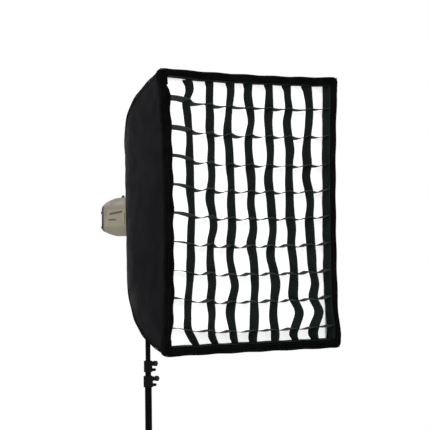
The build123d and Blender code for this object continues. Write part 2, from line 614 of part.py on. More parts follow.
def build_column():
    lower_boss = LOWER_CLAMP_TOP - 10
    upper_boss = UPPER_CLAMP_TOP - 10
    lower = tube(LOWER_R, MIDDLE_R + SLIDE_GAP, SPIDER_Z - 24, LOWER_CLAMP_TOP - 7)
    lower -= along_x(3.5, 0, 30, 0, lower_boss)
    save(lower, "lower_tube")
    middle = tube(MIDDLE_R, TOP_R + SLIDE_GAP, SPIDER_Z + 90, UPPER_CLAMP_TOP - 7)
    middle -= along_x(3.5, 0, 30, 0, upper_boss)
    save(middle, "middle_tube")
    save(tube(TOP_R, TOP_R - 1.2, 480, STUD_LOW - 6), "top_tube")
    save(clamp_collar(LOWER_R, MIDDLE_R + SLIDE_GAP, 15, LOWER_CLAMP_TOP, lower_boss, LOWER_CLAMP_TOP - 29),
         "lower_clamp_collar")
    save(clamp_collar(MIDDLE_R, TOP_R + SLIDE_GAP, 13.5, UPPER_CLAMP_TOP, upper_boss, UPPER_CLAMP_TOP - 29),
         "upper_clamp_collar")
    save(clamp_knob(38.5, lower_boss, MIDDLE_R + 0.3), "lower_clamp_knob")
    save(clamp_knob(33.5, upper_boss, TOP_R + 0.3), "upper_clamp_knob")

    stud = upright(TOP_R, STUD_LOW, STUD_LOW + 45) - (upright(9, STUD_LOW + 15, STUD_LOW + 33)
                                                      - upright(6.6, STUD_LOW + 14, STUD_LOW + 34))
    stud = chamfer(stud.edges().group_by(Axis.Z)[-1], 1.2)
    stud += upright(12, STUD_LOW - 8, STUD_LOW) + upright(TOP_R - 1.2, STUD_LOW - 40, STUD_LOW - 7)
    stud -= tube(TOP_R, TOP_R - 1.2, STUD_LOW - 41, STUD_LOW - 6)
    save(stud, "spigot_stud")


# ---------------------------------------------------------------- stand: legs
def around(azimuth):
    return Rot(0, 0, azimuth)


def build_leg_collar():
    low = LEG_TOP_Z - 18
    high = LEG_TOP_Z + 24
    body = upright(17, low, high)
    body = chamfer(body.edges().group_by(Axis.Z)[-1], 2)
    pins = []
    for azimuth in LEG_AZIMUTHS.values():
        for side in SIGNS:
            y0, y1 = sorted((side * (LEG_W / 2 + 0.4), side * (LEG_W / 2 + 3.4)))
            ear = block(8, LEG_PIVOT_R, y0, y1, LEG_TOP_Z - 9, LEG_TOP_Z + 9)
            ear += along_y(9, y0, y1, LEG_PIVOT_R, LEG_TOP_Z)
            body += around(azimuth) * ear
        body -= around(azimuth) * along_y(PIN_R, -20, 20, LEG_PIVOT_R, LEG_TOP_Z)
        pin = along_y(PIN_R, -LEG_W / 2 - 3.4, LEG_W / 2 + 3.4, LEG_PIVOT_R, LEG_TOP_Z)
        for side in SIGNS:
            y0, y1 = sorted((side * (LEG_W / 2 + 3.4), side * (LEG_W / 2 + 5.0)))
            pin += along_y(4.2, y0, y1, LEG_PIVOT_R, LEG_TOP_Z)
        pins.append(around(azimuth) * pin)
    knob_z = LEG_TOP_Z + 13
    body += around(90) * along_x(6.5, 12, 21, 0, knob_z)
    body -= upright(LOWER_R + PIN_FIT, low - 1, high + 1)
    body -= around(90) * along_x(3.0 + PIN_FIT, 5, 40, 0, knob_z)
    save(body, "leg_collar")
    save(Compound(children=pins), "leg_pivot_pins")
    save(around(90) * clamp_knob(42, knob_z, LOWER_R + 0.3), "leg_collar_knob")


def build_spider():
    """Fixed hub at the column's foot, with a lug for each pair of braces."""
    body = upright(16, SPIDER_Z - 14, SPIDER_Z + 14)
    body += upright(13, SPIDER_Z - 30, SPIDER_Z - 12)
    for azimuth in LEG_AZIMUTHS.values():
        lug = block(8, LEG_PIVOT_R, -LEG_W / 2, LEG_W / 2, SPIDER_Z - 7, SPIDER_Z + 7)
        body += around(azimuth) * (lug + along_y(7, -LEG_W / 2, LEG_W / 2, LEG_PIVOT_R, SPIDER_Z))
    body -= upright(LOWER_R, SPIDER_Z - 24, SPIDER_Z + 40)
    save(body, "lower_spider")


def leg_frame():
    """Local z runs from the top pivot down the leg, local y is the pivots' axis."""
    spread = radians(LEG_SPREAD)
    return Plane(origin=(LEG_PIVOT_R, 0, LEG_TOP_Z), x_dir=(cos(spread), 0, sin(spread)),
                 z_dir=(sin(spread), 0, -cos(spread)))


def brace_frame():
    """Local z runs from the brace's pivot on the leg to its pivot on the spider."""
    spread = radians(LEG_SPREAD)
    x = LEG_PIVOT_R + BRACE_LENGTH * sin(spread)
    z = LEG_TOP_Z - BRACE_LENGTH * cos(spread)
    return Plane(origin=(x, 0, z), x_dir=(-cos(spread), 0, sin(spread)), z_dir=(-sin(spread), 0, -cos(spread)))


def leg_shape():
    wall = 1.3
    outer = Box(LEG_T, LEG_W, LEG_LENGTH - 4, align=BOTTOM)
    outer = fillet(outer.edges().filter_by(Axis.Z), 3)
    inner = Pos(0, 0, -1) * Box(LEG_T - 2 * wall, LEG_W - 2 * wall, LEG_LENGTH + 10, align=BOTTOM)
    top = Rot(90, 0, 0) * Cylinder(LEG_T / 2, LEG_W)
    top -= Rot(90, 0, 0) * Cylinder(LEG_T / 2 - wall, LEG_W - 2 * wall)
    leg = outer - inner + (top & Pos(0, 0, -LEG_T) * Box(LEG_T, LEG_W, LEG_T, align=BOTTOM))
    for z in (0.0, BRACE_LENGTH):
        leg -= Pos(0, 0, z) * Rot(90, 0, 0) * Cylinder(PIN_R + PIN_FIT, LEG_W + 10)
    return leg


def foot_shape(azimuth):
    spread = radians(LEG_SPREAD)
    sleeve = fillet(Box(LEG_T + 4, LEG_W + 4, 42, align=BOTTOM).edges().filter_by(Axis.Z), 4)
    boot = Pos(0, 0, LEG_LENGTH - 42) * sleeve
    boot = leg_frame() * boot
    x = LEG_PIVOT_R + LEG_LENGTH * sin(spread)
    boot += Pos(x, 0, FOOT_CENTRE_Z) * Sphere(FOOT_R)
    core = leg_frame() * (Pos(0, 0, -20) * fillet(
        Box(LEG_T, LEG_W, LEG_LENGTH + 16, align=BOTTOM).edges().filter_by(Axis.Z), 3))
    boot -= core
    boot -= block(x - 80, x + 80, -60, 60, -60, 0)
    return around(azimuth) * boot


def brace_shape():
    parts = []
    for side in SIGNS:
        y0 = side * (LEG_W / 2 + 0.4 + 0.9)
        strip = Pos(0, y0, BRACE_LENGTH / 2) * Box(12, 1.8, BRACE_LENGTH)
        for z in (0, BRACE_LENGTH):
            strip += Pos(0, y0, z) * Rot(90, 0, 0) * Cylinder(6.0, 1.8)
        strip -= Pos(0, y0, BRACE_LENGTH) * Rot(90, 0, 0) * Cylinder(PIN_R, 4)
        strip -= Pos(0, y0, 0) * Rot(90, 0, 0) * Cylinder(PIN_R, 4)
        parts.append(strip)
    pin = Rot(90, 0, 0) * Cylinder(PIN_R, LEG_W + 0.8 + 3.6)
    for side in SIGNS:
        pin += Pos(0, side * (LEG_W / 2 + 0.4 + 1.8 + 0.7), 0) * Rot(90, 0, 0) * Cylinder(4, 1.4)
    parts.append(pin)
    return parts


def build_legs():
    leg = leg_shape()
    braces = brace_shape()
    for name, azimuth in LEG_AZIMUTHS.items():
        save(around(azimuth) * (leg_frame() * leg), f"leg_{name}")
        save(foot_shape(azimuth), f"foot_{name}")
        placed = [around(azimuth) * (brace_frame() * piece) for piece in braces]
        save(Compound(children=placed), f"brace_{name}")


build_shell()
build_rods()
build_rear_sleeve()
build_front()
build_baffle()
build_speed_ring()
build_casing()
build_flange()
build_lamps()
build_release_lever()
build_rear_panel()
build_rear_fittings()
build_head_inside()
build_head_foot()
build_bracket()
build_column()
build_leg_collar()
build_spider()
build_legs()
print(f"softbox depth {FULL_DEPTH:.1f}, rod bend {ROD_BEND_R:.1f}, column at y {SHIFT_Y:.3f}")
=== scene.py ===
"""The softbox's looks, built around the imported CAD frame. Metres, +Z up; the softbox faces -Y."""
import json
import math

import bpy
import numpy as np
from mathutils import Matrix, Vector


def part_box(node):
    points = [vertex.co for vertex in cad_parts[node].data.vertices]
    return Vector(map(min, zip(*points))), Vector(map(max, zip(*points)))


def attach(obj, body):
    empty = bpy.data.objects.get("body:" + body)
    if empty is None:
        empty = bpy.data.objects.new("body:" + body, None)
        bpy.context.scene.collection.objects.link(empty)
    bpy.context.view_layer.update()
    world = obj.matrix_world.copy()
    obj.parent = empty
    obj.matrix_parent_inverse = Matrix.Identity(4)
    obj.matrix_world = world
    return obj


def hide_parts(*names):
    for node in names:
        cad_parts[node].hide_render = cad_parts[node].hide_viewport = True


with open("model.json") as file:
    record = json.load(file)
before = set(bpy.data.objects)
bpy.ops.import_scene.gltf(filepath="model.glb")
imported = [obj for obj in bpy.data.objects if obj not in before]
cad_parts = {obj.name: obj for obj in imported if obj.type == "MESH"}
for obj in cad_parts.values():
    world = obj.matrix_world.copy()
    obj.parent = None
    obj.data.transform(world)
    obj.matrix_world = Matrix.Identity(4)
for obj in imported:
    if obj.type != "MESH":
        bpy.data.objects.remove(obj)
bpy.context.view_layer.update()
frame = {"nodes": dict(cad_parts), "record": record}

# -------------------------------- sizes, from the frame and the CAD's own formulas
RIM_LOW, RIM_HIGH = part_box("front_rim")
FRONT_Y = RIM_LOW.y
AXIS_Z = (RIM_LOW.z + RIM_HIGH.z) / 2
HALF_W = (RIM_HIGH.x - RIM_LOW.x) / 2
HALF_H = (RIM_HIGH.z - RIM_LOW.z) / 2
RIM_DEPTH = RIM_HIGH.y - RIM_LOW.y
REAR_HALF = 0.075
SHELL_END = 0.528
GRID_LOW, GRID_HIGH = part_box("grid_border")
GRID_HALF_W = (GRID_HIGH.x - GRID_LOW.x) / 2
GRID_HALF_H = (GRID_HIGH.z - GRID_LOW.z) / 2
GRID_S0 = GRID_LOW.y - FRONT_Y
GRID_S1 = GRID_HIGH.y - FRONT_Y
DIFFUSER_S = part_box("front_diffuser")[0].y - FRONT_Y
BAFFLE_LOW, BAFFLE_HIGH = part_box("inner_baffle")
CASING_LOW, CASING_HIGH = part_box("head_casing")
# The casing's side grooves: distance before its back edge, height over the axis, length, height, slant.
CASING_GROOVES = ((0.080, 0.013, 0.084, 0.007, 4.5), (0.057, -0.009, 0.050, 0.005, 0.0))
SLEEVE_LOW, SLEEVE_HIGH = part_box("rear_sleeve")
COLUMNS = 8
ROWS = 10
# A corner rod leaves the face at A1 to the depth axis, runs straight a little way, then bends in towards A2.
DIAG_X = HALF_W - REAR_HALF
DIAG_Z = HALF_H - REAR_HALF
REACH = math.hypot(DIAG_X, DIAG_Z)
UNIT_X = DIAG_X / REACH
UNIT_Z = DIAG_Z / REACH
A1 = math.radians(16)
A2 = math.radians(62)
ROD_STRAIGHT = 0.1
ARC_START = ROD_STRAIGHT * math.cos(A1)
ARC_REACH = REACH - ROD_STRAIGHT * math.sin(A1)
BEND_R = ARC_REACH / (math.cos(A1) - math.cos(A2))


def seam_reach(s):
    """How far a rod stands out along the face's diagonal, from the rear opening's corner, at depth s."""
    s = np.asarray(s, float)
    angle = np.arcsin(math.sin(A1) + np.maximum(s - ARC_START, 0) / BEND_R)
    straight = REACH - s * math.tan(A1)
    bent = ARC_REACH - BEND_R * (math.cos(A1) - np.cos(angle))
    return np.where(s <= ARC_START, straight, bent)


def half_width(s):
    """Half the shell's width at depth s behind the front plane."""
    return REAR_HALF + UNIT_X * seam_reach(s)


def half_height(s):
    """Half the shell's height at depth s."""
    return REAR_HALF + UNIT_Z * seam_reach(s)


def smooth(t):
    """0 up to t = 0, 1 from t = 1, with a soft step between."""
    t = np.clip(t, 0, 1)
    return t * t * (3 - 2 * t)


LEFT_FULLNESS = 0.0115   # the left side's cloth stands off its rods towards the back
LEFT_SPREAD = 0.0132     # the face widens towards its top corners, by 0.43 of this at the corner itself
RIGHT_SPREAD = 0.00594


def place(x, s, v):
    """Softbox coordinates to the row frame: x across, s behind the front plane, v above the axis."""
    x, s, v = np.broadcast_arrays(np.asarray(x, float), np.asarray(s, float), np.asarray(v, float))
    behind_hem = smooth((s - 0.10) / 0.22) * (1 - smooth((s - 0.47) / 0.09))
    high = smooth((v + 0.30) / 0.16)
    leftness = smooth((-x - 0.02) / 0.10)
    top_corner = smooth(np.abs(x) / HALF_W - 0.55) * smooth(v / HALF_H) * (1 - smooth(s / 0.2))
    spread = np.where(x < 0, -LEFT_SPREAD, RIGHT_SPREAD) * top_corner
    out = x - LEFT_FULLNESS * behind_hem * high * leftness + spread
    return np.stack([out, FRONT_Y + s, AXIS_Z + v], -1)


# -------------------------------- how the cloth hangs
SIDE_SAG = 0.009         # the long sides draw in between the rods' tips
TOP_SAG = 0.006
BOTTOM_SAG = 0.001
SIDE_RIPPLE = 0.0009
TOP_RIPPLE = 0.0008
LOW_RIGHT_BULGE = 0.006  # the hem stands out near its lower right corner


def edge_warp(x, v):
    """How the front hem and what is sewn to it lie: drawn in between the corners."""
    p = np.clip(np.asarray(x, float) / HALF_W, -1.05, 1.05)
    q = np.clip(np.asarray(v, float) / HALF_H, -1.05, 1.05)
    side = np.abs(p) ** 6 * np.clip(1 - np.abs(q) ** 2.4, 0, 1)
    dx = -np.sign(p) * SIDE_SAG * side
    dx = dx + np.sign(p) * SIDE_RIPPLE * np.abs(p) ** 6 * np.sin(q * 23 + p * 2)
    sag = np.where(q > 0, TOP_SAG, BOTTOM_SAG)
    dv = -np.sign(q) * sag * np.abs(q) ** 6 * np.clip(1 - np.abs(p) ** 2.4, 0, 1)
    dv = dv + TOP_RIPPLE * np.abs(q) ** 6 * np.sin(p * 19 + q * 3)
    low_right = np.exp(-(((p - 1) / 0.12) ** 2 + ((q + 0.9) / 0.1) ** 2))
    dx = dx + LOW_RIGHT_BULGE * low_right
    return dx, dv


# Mid-cell drop of each horizontal strip, in mm, from the top: the cloth is longer than the frame and sinks.
ROW_DROP = [0.5, 8.5, 17.5, 19.5, 21.5, 27.0, 32.5, 35.5, 42.5]
# How much less each column drops, because its strips end at the border.
COLUMN_LIFT = [12.5, 6, 1, 0, 0, 0, 0.5, 4]
# In the first column a strip runs down from the border: its height there, its fall and its arch, in mm.
FIRST_RISE = 7.0
FIRST_FALL = 9.0
FIRST_ARCH = 3.0
# What each row adds to that at the border, in mm, and the share of it that is gone by the first crossing.
FIRST_LIFT = [7.0, 7.0, 10.5, 6.0, 4.0, 2.0, 1.0, 0.0, 0.0]
FIRST_FADE = 0.35
# Height of a strip's front edge across one cell, in mm above its lowest point, at CELL_T of the cell's width.
CELL_T = [0.0, 0.1, 0.25, 0.4, 0.55, 0.75, 0.9, 1.0]
CELL_RISE = [5.5, 3.2, 0.8, 0.0, 0.8, 4.8, 9.0, 11.5]
# The share of that rise in each row.
ROW_SLACK = [0.45, 0.85, 0.8, 1.0, 0.95, 1.05, 1.0, 0.9, 0.6]
# How far the back edge of each horizontal strip hangs under its front edge at the left border, in metres.
LEFT_ROLL = [0.014, 0.009, 0.002, 0.003, 0.003, 0.0, -0.002, -0.007, -0.003]
# How far each vertical strip's front edge leans to +X of straight, in mm, from the top at every half cell.
# This table isn't chosen by hand: a separate program traced the strips and printed it.
UPRIGHT_LEAN = [
    [3, 7, -5, -1, 1, 3, 4, 5, 5, 6, 7, 6, 4, 6, 2, -3, -7, -9, -5, 8, 19],
    [4, 3, 2, 5, 4, 6, 5, 7, 5, 3, 9, 12, 1, -1, 4, 6, 1, 3, 0, 4, 14],
    [6, 5, -1, -5, -5, -1, 1, 2, 3, 4, 6, 7, 1, -4, 5, 14, 5, -1, 4, 7, 11],
    [-1, -3, 2, 5, -2, -4, 1, 6, 5, 2, 7, 10, 4, 10, 13, 14, 10, 13, 10, 6, 5],
    [0, 1, 2, -2, 0, 3, 0, -3, 0, 5, 8, 9, 4, 2, 13, 20, 12, 8, 13, 15, 12],
    [-4, -4, 1, -5, -1, 6, 0, -1, 1, 2, 5, 9, 5, 11, 14, 15, 14, 33, 18, 10, 15],
    [1, 4, 6, 4, -2, -4, -1, -7, 2, 6, 3, 6, 8, 12, 13, 21, 16, 36, 20, 15, 19],
]
BORDER_THICKNESS = 0.0018
INNER_W = GRID_HALF_W - BORDER_THICKNESS
INNER_H = GRID_HALF_H - BORDER_THICKNESS
BEFORE_CROSSING = 0.0004   # a crossing's height is read this far to its left, where the cell before it ends
COLUMN_X = [-INNER_W + 2 * INNER_W * i / COLUMNS for i in range(COLUMNS + 1)]
ROW_V = [INNER_H - 2 * INNER_H * j / ROWS for j in range(ROWS + 1)]


def spline_through(xs, ys, at):
    """A smooth curve through given points, with a slope at each from its neighbours."""
    xs = np.asarray(xs, float)
    ys = np.asarray(ys, float)
    slope = np.gradient(ys, xs)
    k = np.clip(np.searchsorted(xs, at, side="right") - 1, 0, len(xs) - 2)
    h = xs[k + 1] - xs[k]
    t = (np.asarray(at) - xs[k]) / h
    a = (1 + 2 * t) * (1 - t) ** 2
    b = t * (1 - t) ** 2
    c = t * t * (3 - 2 * t)
    d = t * t * (t - 1)
    return a * ys[k] + b * h * slope[k] + c * ys[k + 1] + d * h * slope[k + 1]


def row_v(j, x):
    """Front-edge height of horizontal strip j (1 to 9) at x."""
    x = np.asarray(x, float)
    cell = np.clip(np.searchsorted(COLUMN_X, x, side="right") - 1, 0, COLUMNS - 1)
    t = (x - np.asarray(COLUMN_X)[cell]) / (2 * INNER_W / COLUMNS)
    rise = spline_through(CELL_T, CELL_RISE, t) * ROW_SLACK[j - 1]
    lift = np.asarray(COLUMN_LIFT, float)[cell]
    first_rise = FIRST_RISE - FIRST_FALL * t + FIRST_ARCH * np.sin(t * math.pi)
    first_rise = first_rise + FIRST_LIFT[j - 1] * (1 - FIRST_FADE * t)
    rise = np.where(cell == 0, first_rise, rise)
    return ROW_V[j] + (lift + rise - ROW_DROP[j - 1]) / 1000


def node_v(i, j):
    """Height at which vertical strip i meets horizontal strip j."""
    if j == 0:
        return INNER_H
    if j == ROWS:
        return -INNER_H
    return float(row_v(j, np.array([COLUMN_X[i] - BEFORE_CROSSING]))[0])


def upright_stations(i):
    """Heights along vertical strip i: every crossing, and halfway to the next."""
    nodes = [node_v(i, j) for j in range(ROWS + 1)]
    heights = []
    for a, b in zip(nodes, nodes[1:]):
        heights += [a, (a + b) / 2]
    return heights + [nodes[-1]]


def upright_lean(i, v):
    """How far vertical strip i leans to +X at height v."""
    heights = upright_stations(i)
    return spline_through([-h for h in heights], UPRIGHT_LEAN[i - 1], -np.asarray(v)) / 1000


# -------------------------------- mesh helpers
def mesh_object(name, verts, faces, material, smooth_faces=True):
    """A mesh in the scene, with one material or a list of them."""
    mesh = bpy.data.meshes.new(name)
    mesh.from_pydata([tuple(p) for p in np.asarray(verts).reshape(-1, 3)], [], faces)
    mesh.validate()
    mesh.polygons.foreach_set("use_smooth", [smooth_faces] * len(mesh.polygons))
    obj = bpy.data.objects.new(name, mesh)
    bpy.context.scene.collection.objects.link(obj)
    for m in material if isinstance(material, (list, tuple)) else [material]:
        mesh.materials.append(m)
    return obj


def grid_faces(nu, nv, wrap_u=False, wrap_v=False):
    """Quads between nu by nv points, closed round either way if asked."""
    faces = []
    for i in range(nu if wrap_u else nu - 1):
        for j in range(nv if wrap_v else nv - 1):
            i2 = (i + 1) % nu
            j2 = (j + 1) % nv
            faces.append((i * nv + j, i2 * nv + j, i2 * nv + j2, i * nv + j2))
    return faces


def thicken(obj, thickness, offset=-1.0, inner_slot=0):
    """Gives a surface its thickness: inwards at offset -1, both ways at 0."""
    mod = obj.modifiers.new("thickness", "SOLIDIFY")
    mod.thickness = thickness
    mod.offset = offset
    mod.use_even_offset = False
    mod.material_offset = inner_slot
    return obj


def cloth(name, points, material, thickness, offset, inner_slot=0):
    """A sheet through a grid of points."""
    nu, nv = points.shape[:2]
    obj = mesh_object(name, points, grid_faces(nu, nv), material)
    return thicken(obj, thickness, offset, inner_slot)


def tube_along(path, radius, sides=10, squash=1.0, closed=False):
    """Vertices and faces of a round or flattened tube along a path."""
    path = np.asarray(path, float)
    n = len(path)
    if closed:
        ahead = np.roll(path, -1, 0) - np.roll(path, 1, 0)
    else:
        ahead = np.gradient(path, axis=0)
    ahead = ahead / np.linalg.norm(ahead, axis=1)[:, None]
    normal = np.cross(ahead[0], [0.0, 0.0, 1.0])
    if np.linalg.norm(normal) < 1e-3:
        normal = np.cross(ahead[0], [0.0, 1.0, 0.0])
    rings = []
    for k in range(n):
        normal = normal - ahead[k] * (normal @ ahead[k])
        normal = normal / np.linalg.norm(normal)
        other = np.cross(ahead[k], normal)
        angles = 2 * math.pi * np.arange(sides) / sides
        wide = np.outer(np.cos(angles), normal)
        flat = squash * np.outer(np.sin(angles), other)
        rings.append(path[k] + radius * (wide + flat))
    verts = np.array(rings)
    faces = grid_faces(n, sides, wrap_u=closed, wrap_v=True)
    if not closed:
        faces.append(tuple(range(sides))[::-1])
        faces.append(tuple(range((n - 1) * sides, n * sides)))
    return verts.reshape(-1, 3), faces


def gather(parts):
    """Several (vertices, faces) as one."""
    verts = []
    faces = []
    base = 0
    for v, f in parts:
        v = np.asarray(v).reshape(-1, 3)
        verts.append(v)
        faces += [tuple(base + k for k in face) for face in f]
        base += len(v)
    return np.concatenate(verts), faces


def stitches(line, normals, pitch, length, radius):
    """A row of thread stitches that lies on a surface: one small pod for each."""
    line = np.asarray(line, float)
    steps = np.r_[0, np.cumsum(np.linalg.norm(np.diff(line, axis=0), axis=1))]
    parts = []
    for at in np.arange(pitch / 2, steps[-1], pitch):
        ends = []
        for d in (at - length / 2, at, at + length / 2):
            ends.append(np.array([np.interp(d, steps, line[:, c]) for c in range(3)]))
        normal = np.array([np.interp(at, steps, normals[:, c]) for c in range(3)])
        normal = normal / np.linalg.norm(normal)
        path = np.array([ends[0] - normal * radius * 0.6, ends[1] + normal * radius * 0.9,
                         ends[2] - normal * radius * 0.6])
        parts.append(tube_along(path, radius, sides=5))
    return gather(parts)


# -------------------------------- materials
def node(tree, kind, **values):
    """A shader node with some inputs or settings given."""
    made = tree.nodes.new(kind)
    for key, value in values.items():
        if key in made.inputs:
            made.inputs[key].default_value = value
        else:
            setattr(made, key, value)
    return made


def mixed(tree, factor, a, b):
    """A colour or value mix; a and b are colours, or sockets."""
    mix = tree.nodes.new("ShaderNodeMix")
    mix.data_type = "RGBA"
    tree.links.new(factor, mix.inputs[0])
    for socket, value in ((mix.inputs[6], a), (mix.inputs[7], b)):
        if isinstance(value, bpy.types.NodeSocket):
            tree.links.new(value, socket)
        else:
            socket.default_value = (*value, 1.0)
    return mix.outputs[2]


def ramp(tree, value, low, high, at=(0.35, 0.65)):
    """From low to high while the value goes through the given range."""
    made = tree.nodes.new("ShaderNodeMapRange")
    made.interpolation_type = "SMOOTHSTEP"
    tree.links.new(value, made.inputs["Value"])
    made.inputs["From Min"].default_value = at[0]
    made.inputs["From Max"].default_value = at[1]
    made.inputs["To Min"].default_value = low
    made.inputs["To Max"].default_value = high
    return made.outputs["Result"]


def math_node(tree, operation, a, b):
    """One operation on two numbers or sockets."""
    made = tree.nodes.new("ShaderNodeMath")
    made.operation = operation
    for socket, value in ((made.inputs[0], a), (made.inputs[1], b)):
        if isinstance(value, bpy.types.NodeSocket):
            tree.links.new(value, socket)
        else:
            socket.default_value = value
    return made.outputs[0]


def noise(tree, where, scale, detail=3.0, roughness=0.55):
    """A noise texture's value."""
    made = node(tree, "ShaderNodeTexNoise", Scale=scale, Detail=detail, Roughness=roughness)
    tree.links.new(where, made.inputs["Vector"])
    return made.outputs["Fac"]


def woven_threads(tree, where, scale):
    """Fine ridges along all three axes, which cross on any face."""
    threads = None
    for axis in ("X", "Y", "Z"):
        band = node(tree, "ShaderNodeTexWave", Scale=scale, Distortion=0.6, bands_direction=axis)
        band.inputs["Detail"].default_value = 1.0
        tree.links.new(where, band.inputs["Vector"])
        out = band.outputs["Fac"]
        threads = out if threads is None else math_node(tree, "ADD", threads, out)
    return math_node(tree, "MULTIPLY", threads, 0.33)


def brush_lines(tree, where, stretch_by):
    """Noise drawn out along one axis."""
    stretch = tree.nodes.new("ShaderNodeMapping")
    stretch.inputs["Scale"].default_value = stretch_by
    tree.links.new(where, stretch.inputs["Vector"])
    return noise(tree, stretch.outputs[0], 1.0, 4.0, 0.6)


def wear_mask(tree, where, scale, amount):
    """Where a surface is rubbed: its edges, and scattered marks."""
    edge = tree.nodes.new("ShaderNodeNewGeometry").outputs["Pointiness"]
    edges = ramp(tree, edge, 0.0, 1.0, (0.515, 0.56))
    marks = ramp(tree, noise(tree, where, scale, 6.0, 0.7), 0.0, 1.0, (0.60, 0.66))
    most = math_node(tree, "MAXIMUM", math_node(tree, "MULTIPLY", edges, 0.8), marks)
    return math_node(tree, "MULTIPLY", most, amount)


def dust_mask(tree, where, amount):
    """Dust and lint on what faces up."""
    up = tree.nodes.new("ShaderNodeSeparateXYZ")
    tree.links.new(tree.nodes.new("ShaderNodeNewGeometry").outputs["Normal"], up.inputs[0])
    top = ramp(tree, up.outputs["Z"], 0.0, 1.0, (0.45, 1.0))
    lint = ramp(tree, noise(tree, where, 130.0, 5.0, 0.75), 0.15, 1.0, (0.45, 0.7))
    return math_node(tree, "MULTIPLY", math_node(tree, "MULTIPLY", top, lint), amount)


def finish_of(name, base, second, rough, rough_swing=0.08, metallic=0.0, patch=9.0, grain=900.0,
              grain_mix=0.25, bump=0.25, bump_mm=0.05, weave=None, brushed=None, wear=None, dust=None,
              coat=0.0, specular=0.5, transmission=0.0, ior=1.5, painted_glow=0.0):
    """One material: two colours in soft patches, a fine grain, a weave or brushing, scuffs and dust."""
    mat = bpy.data.materials.new(name)
    mat.use_nodes = True
    tree = mat.node_tree
    shader = tree.nodes["Principled BSDF"]
    where = tree.nodes.new("ShaderNodeTexCoord").outputs["Object"]
    fine = noise(tree, where, grain, 2.0)
    colour = mixed(tree, ramp(tree, noise(tree, where, patch), 0.0, 1.0), base, second)
    darker = tuple(c * 0.55 for c in base)
    colour = mixed(tree, ramp(tree, fine, grain_mix, 0.0, (0.3, 0.6)), colour, darker)
    smudges = noise(tree, where, patch * 3.1)
    roughness = ramp(tree, smudges, rough - rough_swing, rough + rough_swing, (0.3, 0.7))
    height = fine
    if weave:
        threads = woven_threads(tree, where, weave)
        lighter = tuple(min(1, c * 1.35) for c in base)
        colour = mixed(tree, ramp(tree, threads, 0.0, 0.35, (0.25, 0.75)), colour, lighter)
        height = math_node(tree, "ADD", math_node(tree, "MULTIPLY", fine, 0.35), threads)
    if brushed:
        lines = brush_lines(tree, where, brushed)
        height = math_node(tree, "ADD", math_node(tree, "MULTIPLY", fine, 0.3), lines)
    if wear:
        wear_colour, amount, scale, wear_rough = wear
        mask = wear_mask(tree, where, scale, amount)
        colour = mixed(tree, mask, colour, wear_colour)
        roughness = math_node(tree, "ADD", roughness, math_node(tree, "MULTIPLY", mask, wear_rough))
    if dust:
        dust_colour, amount = dust
        colour = mixed(tree, dust_mask(tree, where, amount), colour, dust_colour)
    tree.links.new(colour, shader.inputs["Base Color"])
    tree.links.new(roughness, shader.inputs["Roughness"])
    shader.inputs["Metallic"].default_value = metallic
    shader.inputs["Specular IOR Level"].default_value = specular
    shader.inputs["Coat Weight"].default_value = coat
    shader.inputs["Transmission Weight"].default_value = transmission
    shader.inputs["IOR"].default_value = ior
    # A glow on a surface that is no lamp: painted light.
    if painted_glow:
        shader.inputs["Emission Color"].default_value = (1.0, 1.0, 1.0, 1.0)
        shader.inputs["Emission Strength"].default_value = painted_glow
    relief = node(tree, "ShaderNodeBump", Strength=bump, Distance=bump_mm / 1000)
    tree.links.new(height, relief.inputs["Height"])
    tree.links.new(relief.outputs[0], shader.inputs["Normal"])
    return mat


